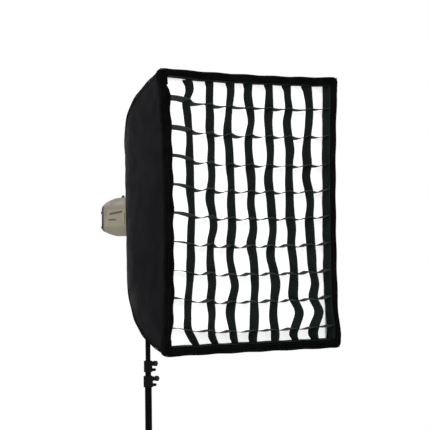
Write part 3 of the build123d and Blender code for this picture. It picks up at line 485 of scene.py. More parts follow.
# Wear: its colour, amount, scale of the marks and change of roughness. Dust: its colour and amount.
BLACK_WEAR = ((0.16, 0.16, 0.155), 0.55, 60.0, -0.15)
METAL_WEAR = ((0.42, 0.42, 0.41), 0.5, 45.0, -0.2)
DUST = ((0.20, 0.195, 0.18), 0.16)
FINISHES = {
    "softbox_nylon": dict(
        base=(0.0046, 0.0047, 0.0056), second=(0.0068, 0.0068, 0.0078), rough=0.55, weave=190.0,
        bump=0.35, bump_mm=0.12, patch=6.0, specular=0.005, dust=((0.10, 0.10, 0.098), 0.03)),
    "rim_webbing": dict(
        base=(0.0016, 0.0016, 0.0018), second=(0.0030, 0.0031, 0.0032), rough=0.70, weave=150.0,
        bump=0.5, bump_mm=0.2, patch=22.0, specular=0.005),
    "grid_cloth": dict(
        base=(0.0085, 0.0130, 0.0115), second=(0.0125, 0.0165, 0.0150), rough=0.82, weave=210.0,
        bump=0.4, bump_mm=0.1, patch=14.0, specular=0.012),
    # The grid's cloth again, about three times lighter, for the horizontal strips: painted light on them, not
    # a paler cloth.
    "grid_cloth_painted_lit": dict(
        base=(0.026, 0.031, 0.030), second=(0.038, 0.043, 0.042), rough=0.82, weave=210.0, bump=0.4,
        bump_mm=0.1, patch=14.0, specular=0.03),
    # The diffuser glows: painted light that lifts the cloth, shaded in its recess behind the grid, to a full
    # white.
    "diffuser_cloth": dict(
        base=(0.86, 0.865, 0.87), second=(0.80, 0.808, 0.82), rough=0.72, weave=230.0, bump=0.2,
        bump_mm=0.06, specular=0.2, grain_mix=0.04, patch=5.0, painted_glow=0.62),
    "baffle_cloth": dict(
        base=(0.82, 0.82, 0.81), second=(0.74, 0.745, 0.75), rough=0.7, weave=230.0, bump=0.2,
        bump_mm=0.06, grain_mix=0.05, patch=7.0),
    "silver_lining": dict(
        base=(0.62, 0.63, 0.64), second=(0.50, 0.51, 0.53), rough=0.34, metallic=0.85, weave=170.0,
        bump=0.4, bump_mm=0.15, patch=16.0, grain_mix=0.1),
    "rod_fibre": dict(
        base=(0.045, 0.046, 0.05), second=(0.065, 0.065, 0.07), rough=0.35, coat=0.3,
        brushed=(400.0, 30.0, 400.0), bump=0.2),
    "black_rubber": dict(
        base=(0.006, 0.006, 0.0065), second=(0.010, 0.010, 0.010), rough=0.78, grain=1400.0, bump=0.3,
        specular=0.02, wear=((0.05, 0.05, 0.05), 0.6, 70.0, 0.05), dust=DUST),
    "ring_metal": dict(
        base=(0.030, 0.030, 0.032), second=(0.045, 0.045, 0.047), rough=0.42, metallic=0.55,
        grain=1500.0, bump=0.2, wear=METAL_WEAR),
    "adapter_metal": dict(
        base=(0.45, 0.45, 0.46), second=(0.56, 0.56, 0.57), rough=0.33, metallic=1.0,
        brushed=(60.0, 900.0, 60.0), bump=0.15),
    "casing_paint": dict(
        base=(0.178, 0.154, 0.104), second=(0.210, 0.184, 0.128), rough=0.50, grain=1100.0,
        grain_mix=0.16, bump=0.28, bump_mm=0.12, specular=0.3,
        wear=((0.12, 0.105, 0.075), 0.45, 55.0, 0.1), dust=((0.34, 0.33, 0.30), 0.18)),
    "casing_trim": dict(
        base=(0.0055, 0.005, 0.004), second=(0.009, 0.0085, 0.007), rough=0.55, grain=1300.0, bump=0.3,
        bump_mm=0.1, specular=0.02, wear=BLACK_WEAR, dust=DUST),
    "flange_casting": dict(
        base=(0.05, 0.05, 0.052), second=(0.075, 0.075, 0.078), rough=0.45, metallic=0.7, bump=0.3,
        wear=METAL_WEAR),
    "foot_casting": dict(
        base=(0.008, 0.008, 0.0085), second=(0.013, 0.013, 0.0135), rough=0.55, specular=0.03,
        grain=1000.0, bump=0.35, wear=METAL_WEAR, dust=DUST),
    "dial_plastic": dict(
        base=(0.010, 0.010, 0.010), second=(0.017, 0.017, 0.017), rough=0.4, grain=1600.0, bump=0.15,
        specular=0.06, wear=BLACK_WEAR),
    "sensor_plastic": dict(
        base=(0.012, 0.004, 0.004), second=(0.020, 0.006, 0.006), rough=0.22, grain_mix=0.05, bump=0.05,
        specular=0.06),
    "nickel": dict(
        base=(0.62, 0.60, 0.56), second=(0.70, 0.68, 0.64), rough=0.22, metallic=1.0, bump=0.1,
        brushed=(500.0, 500.0, 30.0), wear=((0.25, 0.24, 0.22), 0.3, 60.0, 0.2)),
    "flash_glass": dict(
        base=(0.78, 0.76, 0.66), second=(0.84, 0.83, 0.75), rough=0.12, grain_mix=0.05, bump=0.05,
        coat=0.7),
    "lamp_glass": dict(
        base=(0.86, 0.82, 0.70), second=(0.90, 0.88, 0.80), rough=0.2, grain_mix=0.05, bump=0.08,
        coat=0.4),
    "dome_glass": dict(
        base=(0.90, 0.91, 0.90), second=(0.95, 0.95, 0.95), rough=0.1, rough_swing=0.04, grain_mix=0.03,
        bump=0.05, transmission=0.85, ior=1.46),
    "capacitor_can": dict(
        base=(0.02, 0.035, 0.09), second=(0.03, 0.05, 0.12), rough=0.35, bump=0.1, coat=0.3),
    "fan_plastic": dict(
        base=(0.02, 0.02, 0.02), second=(0.03, 0.03, 0.03), rough=0.5, bump=0.2,
        dust=((0.25, 0.24, 0.22), 0.3)),
    "latch_metal": dict(
        base=(0.30, 0.30, 0.30), second=(0.40, 0.40, 0.40), rough=0.3, metallic=1.0, bump=0.15,
        brushed=(200.0, 200.0, 900.0), wear=BLACK_WEAR),
    "stand_tube": dict(
        base=(0.0012, 0.0012, 0.0013), second=(0.0022, 0.0022, 0.0023), rough=0.50, grain=1500.0,
        bump=0.22, bump_mm=0.06, brushed=(900.0, 900.0, 12.0), specular=0.008,
        wear=((0.010, 0.010, 0.010), 0.35, 28.0, -0.15), dust=((0.12, 0.12, 0.11), 0.05)),
    "stand_casting": dict(
        base=(0.0024, 0.0034, 0.0030), second=(0.0046, 0.0058, 0.0053), rough=0.56, grain=1100.0,
        bump=0.35, bump_mm=0.12, specular=0.01, wear=((0.016, 0.016, 0.016), 0.4, 60.0, -0.1),
        dust=((0.14, 0.14, 0.13), 0.10)),
    "bracket_casting": dict(
        base=(0.006, 0.006, 0.0065), second=(0.010, 0.010, 0.0105), rough=0.48, grain=1000.0, bump=0.35,
        bump_mm=0.12, specular=0.03, wear=METAL_WEAR, dust=DUST),
    "brace_steel": dict(
        base=(0.0035, 0.0035, 0.0038), second=(0.006, 0.006, 0.0064), rough=0.46, grain=1500.0,
        bump=0.2, specular=0.02, wear=((0.03, 0.03, 0.03), 0.4, 45.0, -0.15),
        dust=((0.14, 0.14, 0.13), 0.10)),
    "knob_plastic": dict(
        base=(0.0040, 0.0044, 0.0044), second=(0.0075, 0.008, 0.008), rough=0.42, grain=1300.0,
        bump=0.25, bump_mm=0.08, specular=0.02, wear=((0.05, 0.05, 0.05), 0.5, 60.0, -0.1),
        dust=((0.14, 0.14, 0.13), 0.10)),
    "plated_steel": dict(
        base=(0.50, 0.49, 0.47), second=(0.60, 0.59, 0.57), rough=0.3, metallic=1.0, bump=0.15,
        brushed=(700.0, 700.0, 40.0), wear=((0.18, 0.15, 0.11), 0.35, 70.0, 0.25)),
    "thread": dict(
        base=(0.006, 0.006, 0.0065), second=(0.014, 0.014, 0.0145), rough=0.6, patch=60.0,
        specular=0.02),
    "elastic": dict(
        base=(0.008, 0.008, 0.0085), second=(0.014, 0.014, 0.0145), rough=0.8, weave=300.0, bump=0.5,
        bump_mm=0.2, specular=0.02),
    # Painted shade for the casing's side grooves: the casing's beige at about a quarter of its brightness.
    "groove_painted_shade": dict(
        base=(0.052, 0.040, 0.026), second=(0.075, 0.056, 0.040), rough=0.6, grain=1200.0, bump=0.3,
        specular=0.15),
}
MATERIALS = {name: finish_of(name, **values) for name, values in FINISHES.items()}


def dress_frame():
    """Every CAD node that stays gets its slot's finish."""
    for part in frame["record"]["subparts"]:
        obj = frame["nodes"][part["node"]]
        obj.data.materials.clear()
        obj.data.materials.append(MATERIALS[part["material_slot"]])


# -------------------------------- the softbox's cloth
def radial_folds(x, y, corners, seed):
    """Tension folds that run out from each corner and die away: place, reach, strength and number of each."""
    total = np.zeros_like(x)
    for k, (cx, cy, reach, strength, count) in enumerate(corners):
        r = np.hypot(x - cx, y - cy)
        angle = np.arctan2(y - cy, x - cx)
        wave = np.sin(angle * count + seed + 1.7 * k) + 0.5 * np.sin(angle * count * 1.9 + 2.1 * seed + k)
        total = total + strength * wave * np.exp(-r / reach) * smooth(r / 0.035)
    return total


def shell_panel(side, sag_front, sag_mid, weight, seed):
    """One side of the shell, stretched between two curved rods: it draws in between them."""
    nu, ns = 105, 91
    u = np.linspace(-1, 1, nu)[:, None]
    s = np.linspace(0.001, SHELL_END, ns)[None, :]
    upright = side in ("left", "right")
    sign = -1 if side in ("left", "bottom") else 1
    across = half_height(s) if upright else half_width(s)
    out = half_width(s) if upright else half_height(s)
    run = u * across
    profile = sag_front * (1 - smooth(s / 0.14)) + sag_mid * smooth(s / 0.14) * (1 - smooth((s - 0.3) / 0.22))
    sag = (1 - np.abs(u) ** 2.4) * profile
    full = half_height(0.0) if upright else half_width(0.0)
    corners = [(-full, 0.0, 0.13, 0.0016, 9.0), (full, 0.0, 0.15, 0.0019, 8.0),
               (-0.11, SHELL_END, 0.10, 0.0014, 10.0), (0.11, SHELL_END, 0.10, 0.0014, 10.0)]
    ripple = radial_folds(run + 0 * s, s + 0 * run, corners, seed)
    gap = (1 - np.abs(u)) * across
    pucker = 0.0007 * np.sin(s * 250 + 3 * np.sin(s * 37 + seed)) * np.exp(-gap / 0.012) * smooth(gap / 0.004)
    broad = 0.0022 * np.sin(run * 11 + seed) * np.sin(s * 15 + 1.3 * seed) * (1 - u ** 4) * smooth(s / 0.08)
    depth = out - sag + (ripple + pucker + broad * weight) * (1 - np.abs(u) ** 10)
    hem = smooth((0.03 - s) / 0.03)
    if upright:
        _, dv = edge_warp(sign * out + 0 * run, run)
        return place(sign * depth, s + 0 * u, run + dv * hem)
    dx, _ = edge_warp(run, sign * out + 0 * run)
    return place(run + dx * hem, s + 0 * u, sign * depth)


def outward(points, side):
    """Flips a panel's grid where needed, so that its faces look outward."""
    a = points[1, 0] - points[0, 0]
    b = points[0, 1] - points[0, 0]
    normal = np.cross(a, b)
    want = {"left": (-1, 0, 0), "right": (1, 0, 0), "top": (0, 0, 1), "bottom": (0, 0, -1)}[side]
    return points[::-1] if normal @ np.array(want) < 0 else points


def build_shell():
    """The four panels: how far each draws in at the front and further back, and how its folds fall."""
    plan = {"left": (SIDE_SAG, 0.0005, 1.0, 0.4), "right": (SIDE_SAG, 0.007, 1.0, 2.3),
            "top": (TOP_SAG, 0.010, 1.0, 4.1), "bottom": (BOTTOM_SAG, -0.001, 1.2, 5.6)}
    for side, (front, mid, weight, seed) in plan.items():
        points = outward(shell_panel(side, front, mid, weight, seed), side)
        panel = cloth(f"cloth_{side}", points, [MATERIALS["softbox_nylon"], MATERIALS["silver_lining"]],
                      0.0009, -1.0, 1)
        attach(panel, "softbox")
        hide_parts(f"panel_{side}")


def build_seams():
    """Bound seams over the four rods, folded tape with a row of stitches each side."""
    tubes = []
    threads = []
    s = np.linspace(0.003, SHELL_END, 90)
    for sx in (-1, 1):
        for sz in (-1, 1):
            ride_out = 0.0008 + 0.0005 * np.sin(s * 60 + sx + 2 * sz)
            path = place(sx * (half_width(s) + ride_out), s, sz * (half_height(s) + ride_out))
            tubes.append(tube_along(path, 0.0019, sides=10, squash=0.62))
            for off_x, off_z in ((0.0, 0.0095), (0.0095, 0.0)):
                line = place(sx * (half_width(s) - off_x + 0.0006), s, sz * (half_height(s) - off_z + 0.0006))
                normal = np.tile([sx * (off_z > 0), 0.25, sz * (off_x > 0)], (len(s), 1)).astype(float)
                threads.append(stitches(line, normal, 0.0062, 0.0042, 0.00042))
    seams = mesh_object("seam_bindings", *gather(tubes), MATERIALS["rim_webbing"])
    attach(seams, "softbox")
    sewn = mesh_object("seam_stitches", *gather(threads), MATERIALS["thread"])
    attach(sewn, "softbox")


def corner_loop(half_w, half_h, radius, per_side=60, per_corner=9):
    """A rectangle with rounded corners as a closed loop of (x, v, nx, nv), seen from the front."""
    out = []
    corners = [(1, 1, 0), (-1, 1, 90), (-1, -1, 180), (1, -1, 270)]
    for k, (sx, sz, start) in enumerate(corners):
        cx = sx * (half_w - radius)
        cz = sz * (half_h - radius)
        for a in np.linspace(start, start + 90, per_corner):
            c, d = math.cos(math.radians(a)), math.sin(math.radians(a))
            out.append((cx + radius * c, cz + radius * d, c, d))
        nx, nz, _ = corners[(k + 1) % 4]
        ex, ez = nx * (half_w - radius), nz * (half_h - radius)
        a = math.radians(start + 90)
        here = np.array([cx + radius * math.cos(a), cz + radius * math.sin(a)])
        there = np.array([ex + radius * math.cos(a), ez + radius * math.sin(a)])
        for t in np.linspace(0, 1, per_side + 2)[1:-1]:
            p = here + (there - here) * t
            out.append((p[0], p[1], math.cos(a), math.sin(a)))
    return np.array(out)


def opening_warp(x, v):
    """The opening's inner edge flares at the left corners and at the lower right, where the grid pulls."""
    top_left = np.exp(-(((x + GRID_HALF_W) / 0.05) ** 2 + ((v - GRID_HALF_H + 0.012) / 0.024) ** 2))
    low_left = np.exp(-(((x + GRID_HALF_W) / 0.05) ** 2 + ((v + GRID_HALF_H - 0.02) / 0.05) ** 2))
    low_right = np.exp(-(((x - GRID_HALF_W) / 0.05) ** 2 + ((v + GRID_HALF_H - 0.05) / 0.06) ** 2))
    wave = 0.0018 * np.exp(-((x + GRID_HALF_W) / 0.03) ** 2) * np.sin(v * 80 + 0.8)
    return -0.012 * top_left - 0.007 * low_left + 0.006 * low_right + wave


def top_lift(x):
    """The opening's top edge rises towards the left corner."""
    return 0.0065 * np.exp(-((x + GRID_HALF_W) / 0.07) ** 2)


def build_rim():
    """Front hem: webbing folded over the shell's front edge, across the face and back into the opening."""
    loop = corner_loop(HALF_W + 0.0006, HALF_H + 0.0006, 0.013)
    profile = [(0.0016, 0.021), (0.0018, 0.012), (0.0014, 0.004), (0.0002, 0.0006), (-0.003, -0.0010),
               (-0.008, -0.0007), (-0.014, -0.0010), (-0.0185, -0.0008), (-0.0205, 0.0008), (-0.0212, 0.005),
               (-0.0212, 0.018), (-0.0212, 0.031), (-0.0212, RIM_DEPTH)]
    rings = []
    for k, (x, v, nx, nv) in enumerate(loop):
        wobble = 0.0007 * math.sin(k * 0.43) + 0.0004 * math.sin(k * 1.13 + 1)
        ring = []
        for n, s in profile:
            px = x + nx * n
            pv = v + nv * n
            dx, dv = edge_warp(px, pv)
            inner = smooth((-n - 0.010) / 0.010)
            dx = dx + opening_warp(px, pv) * inner
            dv = dv + top_lift(px) * inner * (pv > 0.8 * HALF_H)
            ring.append(place(px + dx + wobble * nx * inner, s, pv + dv + wobble * nv * inner))
        rings.append(ring)
    points = np.array(rings).reshape(len(loop), len(profile), 3)
    rim = mesh_object("rim_hem", points, grid_faces(*points.shape[:2], wrap_u=True), MATERIALS["rim_webbing"])
    rim.data.flip_normals()
    thicken(rim, 0.0011, 0.0)
    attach(rim, "softbox")
    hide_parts("front_rim")
    threads = []
    for index, towards in ((4, -1), (7, -1), (1, 0)):
        line = points[:, index].copy()
        if towards:
            normal = np.tile([0.0, -1.0, 0.0], (len(line), 1))
            line[:, 1] -= 0.0006
        else:
            normal = np.stack([loop[:, 2], 0 * loop[:, 2], loop[:, 3]], -1)
            line += normal * 0.0006
        line = np.concatenate([line, line[:1]])
        normal = np.concatenate([normal, normal[:1]])
        threads.append(stitches(line, normal, 0.0060, 0.0040, 0.00040))
    sewn = mesh_object("rim_stitches", *gather(threads), MATERIALS["thread"])
    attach(sewn, "softbox")


POCKET_RADIUS = 0.0145
POCKET_REACH = 0.030
# Across the hem: how far out from its side, and how far behind the front plane.
POCKET_PROFILE = ((0.0008, 0.030), (0.0014, 0.024), (0.0019, 0.016), (0.0021, 0.009), (0.0018, 0.002),
                  (0.0006, -0.0019), (-0.004, -0.0026), (-0.010, -0.0024), (-0.0155, -0.0018))


def pocket_line(t):
    """Point and outward direction along a pocket, from -1 on the upper hem, round the corner, to 1."""
    if t < -0.3:
        along = POCKET_REACH * (-0.3 - t) / 0.7
        return HALF_W - POCKET_RADIUS - along, HALF_H, 0.0, 1.0
    if t > 0.3:
        along = POCKET_REACH * (t - 0.3) / 0.7
        return HALF_W, HALF_H - POCKET_RADIUS - along, 1.0, 0.0
    angle = math.radians(90 - (t + 0.3) / 0.6 * 90)
    nx = math.cos(angle)
    nv = math.sin(angle)
    return HALF_W - POCKET_RADIUS * (1 - nx), HALF_H - POCKET_RADIUS * (1 - nv), nx, nv


def build_corner_pockets():
    """Doubled webbing at each corner, where a rod's tip is seated."""
    for name, sx, sz in (("low_left", -1, -1), ("low_right", 1, -1),
                         ("top_left", -1, 1), ("top_right", 1, 1)):
        grid = []
        for t in np.linspace(-1, 1, 25):
            x, v, nx, nv = pocket_line(t)
            bulge = 0.0008 * math.exp(-(t / 0.45) ** 2)
            row = []
            for n, s in POCKET_PROFILE:
                px = sx * (x + nx * (n + bulge * (s > 0)))
                pv = sz * (v + nv * (n + bulge * (s > 0)))
                dx, dv = edge_warp(px, pv)
                row.append(place(px + dx, s, pv + dv))
            grid.append(row)
        points = np.array(grid).reshape(len(grid), len(POCKET_PROFILE), 3)
        faces = grid_faces(*points.shape[:2])
        pocket = mesh_object(f"corner_pocket_{name}", points, faces, MATERIALS["rim_webbing"])
        thicken(pocket, 0.0014, 0.0)
        sub = pocket.modifiers.new("soften", "SUBSURF")
        sub.levels = 1
        sub.render_levels = 1
        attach(pocket, "softbox")


# -------------------------------- eggcrate grid
BORDER_INSET = 0.0012


def border_x(side, v, s):
    """Where the left or right border hangs: it follows the hem, and waves more towards the back."""
    sign = -1 if side == "left" else 1
    dx, _ = edge_warp(sign * GRID_HALF_W, v)
    flare = opening_warp(sign * GRID_HALF_W, v)
    wave = 0.0016 * np.sin(v * 70 + (1.0 if side == "left" else 3.0))
    return sign * (GRID_HALF_W - BORDER_INSET) + dx + flare + wave * (s - GRID_S0) / 0.04


def border_v(side, x, s):
    """Where the top or bottom border hangs: it follows the hem."""
    sign = -1 if side == "bottom" else 1
    _, dv = edge_warp(x, sign * GRID_HALF_H)
    rise = top_lift(x) if side == "top" else 0.002 * (s - GRID_S0) / 0.038
    return sign * (GRID_HALF_H - BORDER_INSET) + dv + rise


def build_grid_border():
    """The grid's own edge, four strips sewn inside the hem."""
    depth = np.linspace(GRID_S0 + 0.0005, GRID_S1, 9)
    for side in ("left", "right", "top", "bottom"):
        along = np.linspace(-1, 1, 121)
        grid = []
        for t in along:
            row = []
            for s in depth:
                if side in ("left", "right"):
                    v = t * (GRID_HALF_H - 0.002)
                    row.append(place(border_x(side, v, s), s, v))
                else:
                    x = t * (GRID_HALF_W - 0.002)
                    row.append(place(x, s, border_v(side, x, s)))
            grid.append(row)
        points = np.array(grid).reshape(len(along), len(depth), 3)
        strip = cloth(f"grid_border_{side}", points, MATERIALS["grid_cloth"], 0.0012, 0.0)
        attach(strip, "softbox")
        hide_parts("grid_border")


def build_grid_uprights():
    """Vertical strips: a little longer than the frame, so they buckle between the crossings."""
    depth = np.linspace(0, 1, 7)
    v = np.linspace(INNER_H, -INNER_H, 261)
    share = (v + INNER_H) / (2 * INNER_H)
    top = smooth((v - INNER_H + 0.018) / 0.018)
    low = smooth((-INNER_H + 0.016 - v) / 0.016)
    for i in range(1, COLUMNS):
        lean = upright_lean(i, v)
        twist = 0.0025 * np.sin(v * 27 + i * 1.9) + 0.0015 * np.sin(v * 61 + i)
        turn = 0.0018 + 0.0065 * (1 - share) * i / COLUMNS
        grid = []
        for t in depth:
            s = GRID_S0 + 0.001 + t * (GRID_S1 - GRID_S0 - 0.001)
            belly = 0.0012 * np.sin(math.pi * t) * np.sin(v * 41 + i * 2.3)
            ends = -0.006 * top * t ** 2 + 0.004 * low * t ** 2
            x = COLUMN_X[i] + lean + (twist - turn) * t + belly + ends
            _, dv_top = edge_warp(x, GRID_HALF_H)
            _, dv_low = edge_warp(x, -GRID_HALF_H)
            grid.append(place(x, s, v + dv_top * share ** 3 + dv_low * (1 - share) ** 3))
        points = np.array(grid).transpose(1, 0, 2)
        strip = cloth(f"grid_upright_{i}", points, MATERIALS["grid_cloth"], 0.0011, 0.0)
        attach(strip, "softbox")
        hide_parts("grid_vertical_strips")


def build_grid_shelves():
    """Horizontal strips: they sag in every cell and rise to the next crossing."""
    depth = np.linspace(0, 1, 6)
    x = np.linspace(-INNER_W, INNER_W, COLUMNS * 26 + 1)
    near_left = np.exp(-((x + INNER_W) / 0.05))
    for j in range(1, ROWS):
        front = np.convolve(np.pad(row_v(j, x), 2, mode="edge"), [0.15, 0.2, 0.3, 0.2, 0.15], "valid")
        roll = (0.0030 if j < 6 else 0.0004) + 0.0012 * np.sin(x * 60 + j * 1.7)
        fall = roll + LEFT_ROLL[j - 1] * near_left
        grid = []
        for t in depth:
            s = GRID_S0 + 0.001 + t * (GRID_S1 - GRID_S0 - 0.002)
            near = border_x("left", float(front[0]), s) + 0.0006
            far = border_x("right", float(front[-1]), s) - 0.0006
            across = near + (x + INNER_W) / (2 * INNER_W) * (far - near)
            grid.append(place(across, s, front - fall * t))
        points = np.array(grid).transpose(1, 0, 2)
        # The horizontal strips take the lighter copy of the grid's cloth: painted light.
        strip = cloth(f"grid_shelf_{j}", points, MATERIALS["grid_cloth_painted_lit"], 0.0011, 0.0)
        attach(strip, "softbox")
        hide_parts("grid_horizontal_strips")


def build_crossings():
    """A bar tack at the front of each crossing: three short threads, one above another."""
    parts = []
    ends_s = GRID_S0 + 0.0015
    middle_s = GRID_S0 + 0.0004
    for i in range(1, COLUMNS):
        for j in range(1, ROWS):
            v = node_v(i, j)
            x = COLUMN_X[i] + float(upright_lean(i, np.array([v]))[0])
            for dv in (0.0035, 0.0, -0.0035):
                path = place([x - 0.0009, x, x + 0.0009], [ends_s, middle_s, ends_s], [v + dv] * 3)
                parts.append(tube_along(path, 0.0004, sides=5))
    tacks = mesh_object("grid_bar_tacks", *gather(parts), MATERIALS["thread"])
    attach(tacks, "softbox")


# -------------------------------- diffusers
def sheet_points(half_w, half_h, s, billow, seed, count=(61, 81), sag=0.0):
    """A flat cloth that billows in the middle, with folds at its corners."""
    x = np.linspace(-half_w, half_w, count[0])[:, None]
    v = np.linspace(-half_h, half_h, count[1])[None, :]
    p = x / half_w
    q = v / half_h
    bulge = billow * (1 - p ** 2) * (1 - q ** 2)
    corners = [(sx * half_w, sz * half_h, 0.12, 0.0012, 8.0) for sz in (-1, 1) for sx in (-1, 1)]
    folds = radial_folds(x + 0 * v, v + 0 * x, corners, seed)
    edge = (1 - np.abs(p) ** 8) * (1 - np.abs(q) ** 8)
    drop = -sag * (1 - p ** 2) * (1 - q) / 2
    return place(x + 0 * v, s + bulge + folds * edge, v + drop + 0 * x)


def build_front_diffuser():
    """The white cloth behind the grid, which is the lit face: its material's glow is painted light."""
    w = GRID_HALF_W + 0.0002
    h = GRID_HALF_H + 0.0002
    points = sheet_points(w, h, DIFFUSER_S + 0.0006, 0.004, seed=0.7)
    front = cloth("diffuser_cloth_front", points[::-1], MATERIALS["diffuser_cloth"], 0.0005, 0.0)
    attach(front, "softbox")
    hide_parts("front_diffuser")


def build_baffle():
    """The inner baffle, with an elastic strap and a loop from each corner to its rod."""
    half_w = min(BAFFLE_HIGH.x, (BAFFLE_HIGH.x - BAFFLE_LOW.x) / 2) - 0.022
    half_h = (BAFFLE_HIGH.z - BAFFLE_LOW.z) / 2 - 0.030
    s = (BAFFLE_LOW.y + BAFFLE_HIGH.y) / 2 - FRONT_Y
    points = sheet_points(half_w, half_h, s, -0.006, seed=3.1, count=(41, 51), sag=0.004)
    baffle = cloth("baffle_cloth_inner", points[::-1], MATERIALS["baffle_cloth"], 0.0005, 0.0)
    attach(baffle, "softbox")
    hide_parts("inner_baffle")
    straps = []
    rings = []
    for sx in (-1, 1):
        for sz in (-1, 1):
            start = np.array([sx * (half_w - 0.004), s, sz * (half_h - 0.004)])
            end = np.array([sx * (half_width(s) - 0.0115), s, sz * (half_height(s) - 0.0115)])
            t = np.linspace(0, 1, 12)[:, None]
            path = start + (end - start) * t
            path[:, 2] -= 0.002 * np.sin(math.pi * t[:, 0])
            strap = place(path[:, 0], path[:, 1], path[:, 2])
            straps.append(tube_along(strap, 0.0040, sides=8, squash=0.22))
            a = np.linspace(0, 2 * math.pi, 17)[:-1]
            loop = place(end[0] + 0.0052 * np.cos(a), s, end[2] + 0.0052 * np.sin(a))
            rings.append(tube_along(loop, 0.0011, sides=8, closed=True))
    bands = mesh_object("baffle_straps", *gather(straps), MATERIALS["elastic"])
    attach(bands, "softbox")
    loops = mesh_object("baffle_rod_loops", *gather(rings), MATERIALS["elastic"])
    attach(loops, "softbox")


# -------------------------------- rear sleeve
def build_sleeve():
    """Rear of the shell: a tube of cloth, drawn in round the head by an elastic cord."""
    half_w = float(half_width(SHELL_END))
    half_h = float(half_height(SHELL_END))
    s0 = SLEEVE_LOW.y - FRONT_Y - 0.006
    s1 = SLEEVE_HIGH.y - FRONT_Y
    hole = 0.0688
    squareness = 7.0
    n = 240
    # From the shell to the hole: the share of the way out from the hole, and the depth.
    profile = [(1.0, s0), (1.0, s0 + 0.012), (1.0, s0 + 0.028), (0.997, s1 - 0.012), (0.975, s1 - 0.004),
               (0.93, s1 - 0.0015), (0.80, s1 - 0.001), (0.55, s1 - 0.0015), (0.30, s1 - 0.001),
               (0.12, s1 - 0.001), (0.03, s1 + 0.0005), (0.0, s1 + 0.003)]
    rings = []
    for k in range(n):
        a = 2 * math.pi * k / n
        c, d = math.cos(a), math.sin(a)
        radius = 1.0 / ((abs(c) / half_w) ** squareness + (abs(d) / half_h) ** squareness) ** (1 / squareness)
        pleat = math.sin(34 * a + 1.2 * math.sin(3 * a)) + 0.45 * math.sin(71 * a + 0.7)
        ring = []
        for share, s in profile:
            r = hole + (radius - hole) * share
            draw = (1 - share) ** 1.3
            lift = 0.0026 * pleat * draw * min(1.0, share * 6 + 0.35)
            swell = 0.0030 * math.sin(math.pi * min(1, max(0, share))) if share < 1 else 0.0
            slack = 0.0010 * pleat * (1 if 0.9 < share else 0.4) * smooth((s - s0) / 0.03)
            rr = r + float(slack) + (0.0016 if share >= 0.99 else 0.0)
            ring.append(place(c * rr, s + lift + swell, d * rr))
        rings.append(ring)
    points = np.array(rings).reshape(n, len(profile), 3)
    sleeve = mesh_object("sleeve_cloth", points, grid_faces(n, len(profile), wrap_u=True),
                         [MATERIALS["softbox_nylon"], MATERIALS["silver_lining"]])
    sleeve.data.flip_normals()
    thicken(sleeve, 0.0009, -1.0, 1)
    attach(sleeve, "softbox")
    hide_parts("rear_sleeve")
    a = np.linspace(0, 2 * math.pi, 161)[:-1]
    cord_r = hole + 0.0006
    cord_line = place(cord_r * np.cos(a), s1 + 0.0035 + 0.0008 * np.sin(34 * a), cord_r * np.sin(a))
    band = mesh_object("sleeve_elastic_hem", *tube_along(cord_line, 0.0026, sides=8, closed=True),
                       MATERIALS["elastic"])
    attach(band, "softbox")


# -------------------------------- head
def build_groove_shade():
    """Painted shade in the casing's side grooves: dark brown strips, the casing's beige at about a quarter of
    its brightness, set just under the surface.
    """
    half = (CASING_HIGH.x - CASING_LOW.x) / 2
    gap = 0.0004
    inner = half - 0.0012
    outer = half - 0.0002
    sides = [(k, (k + 1) % 4, (k + 1) % 4 + 4, k + 4) for k in range(4)]
    parts = []
    for sx in (-1, 1):
        for y, v, length, height, slant in CASING_GROOVES:
            lean = math.radians(slant)
            ring = []
            for dy, dz in ((-1, -1), (1, -1), (1, 1), (-1, 1)):
                py = dy * (length / 2 - gap)
                pz = dz * (height / 2 - gap)
                ring.append((CASING_HIGH.y - y + py * math.cos(lean) + pz * math.sin(lean),
                             AXIS_Z + v - py * math.sin(lean) + pz * math.cos(lean)))
            verts = [(sx * x, a, b) for x in (inner, outer) for a, b in ring]
            parts.append((np.array(verts), [(3, 2, 1, 0), (4, 5, 6, 7)] + sides))
    strips = mesh_object("casing_groove_painted_shade", *gather(parts), MATERIALS["groove_painted_shade"], smooth_faces=False)
    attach(strips, "head")


# -------------------------------- stage
# Name, place, size and power of each soft light.
LIGHTS = (("key", (-2.6, -3.4, 3.1), 2.2, 55.0),
          ("fill", (2.8, -2.6, 2.0), 2.4, 24.0),
          ("back", (-1.6, 2.8, 2.6), 1.8, 30.0))


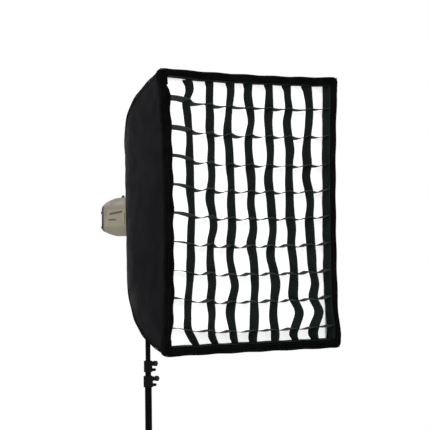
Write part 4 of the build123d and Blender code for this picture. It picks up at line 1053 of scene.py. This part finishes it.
def build_stage():
    """A round pale floor, a white world and three soft lights."""
    floor_material = finish_of("floor_paper", base=(0.86, 0.86, 0.86), second=(0.88, 0.88, 0.88), rough=0.8,
                               rough_swing=0.03, grain_mix=0.02, bump=0.05, patch=2.0)
    n = 96
    radius = 1.9
    angles = [2 * math.pi * k / n for k in range(n)]
    verts = [(0.0, 0.0, 0.0)] + [(radius * math.cos(a), radius * math.sin(a), 0.0) for a in angles]
    faces = [(0, k + 1, (k + 1) % n + 1) for k in range(n)]
    floor = mesh_object("floor", verts, faces, floor_material)
    world = bpy.data.worlds.new("studio")
    bpy.context.scene.world = world
    world.use_nodes = True
    sky = world.node_tree.nodes["Background"]
    sky.inputs["Color"].default_value = (1.0, 1.0, 1.0, 1.0)
    sky.inputs["Strength"].default_value = 1.0
    bpy.context.scene.view_settings.view_transform = "Standard"
    for name, place_at, size, power in LIGHTS:
        light = bpy.data.lights.new(name, "AREA")
        light.shape = "DISK"
        light.size = size
        light.energy = power
        lamp = bpy.data.objects.new(name, light)
        bpy.context.scene.collection.objects.link(lamp)
        lamp.location = place_at
        aim = Vector((0.0, -0.2, 1.1)) - lamp.location
        lamp.rotation_mode = "QUATERNION"
        lamp.rotation_quaternion = aim.to_track_quat("-Z", "Y")


def build_camera():
    """A long lens from the front left, a little below the middle of the face."""
    theta = math.radians(34.03)
    distance = 4.762
    yaw = math.radians(32.66)
    pitch = math.radians(0.93)
    roll = math.radians(-0.6)
    eye = Vector((-distance * math.sin(theta), FRONT_Y - distance * math.cos(theta), AXIS_Z - 0.084))
    ahead = Vector((math.sin(yaw) * math.cos(pitch), math.cos(yaw) * math.cos(pitch), math.sin(pitch)))
    right = Vector((math.cos(yaw), -math.sin(yaw), 0.0))
    up = right.cross(ahead)
    right, up = (right * math.cos(roll) + up * math.sin(roll), -right * math.sin(roll) + up * math.cos(roll))
    data = bpy.data.cameras.new("camera")
    data.lens = 138.6
    data.sensor_width = 36.0
    camera = bpy.data.objects.new("camera", data)
    bpy.context.scene.collection.objects.link(camera)
    turn = Matrix((right, up, -ahead)).transposed().to_4x4()
    camera.matrix_world = Matrix.Translation(eye) @ turn
    data.clip_end = 60.0
    bpy.context.scene.camera = camera


build_camera()
build_stage()
dress_frame()
build_shell()
build_seams()
build_rim()
build_corner_pockets()
build_grid_border()
build_grid_uprights()
build_grid_shelves()
build_crossings()
build_front_diffuser()
build_baffle()
build_sleeve()
build_groove_shade()

bpy.context.view_layer.update()
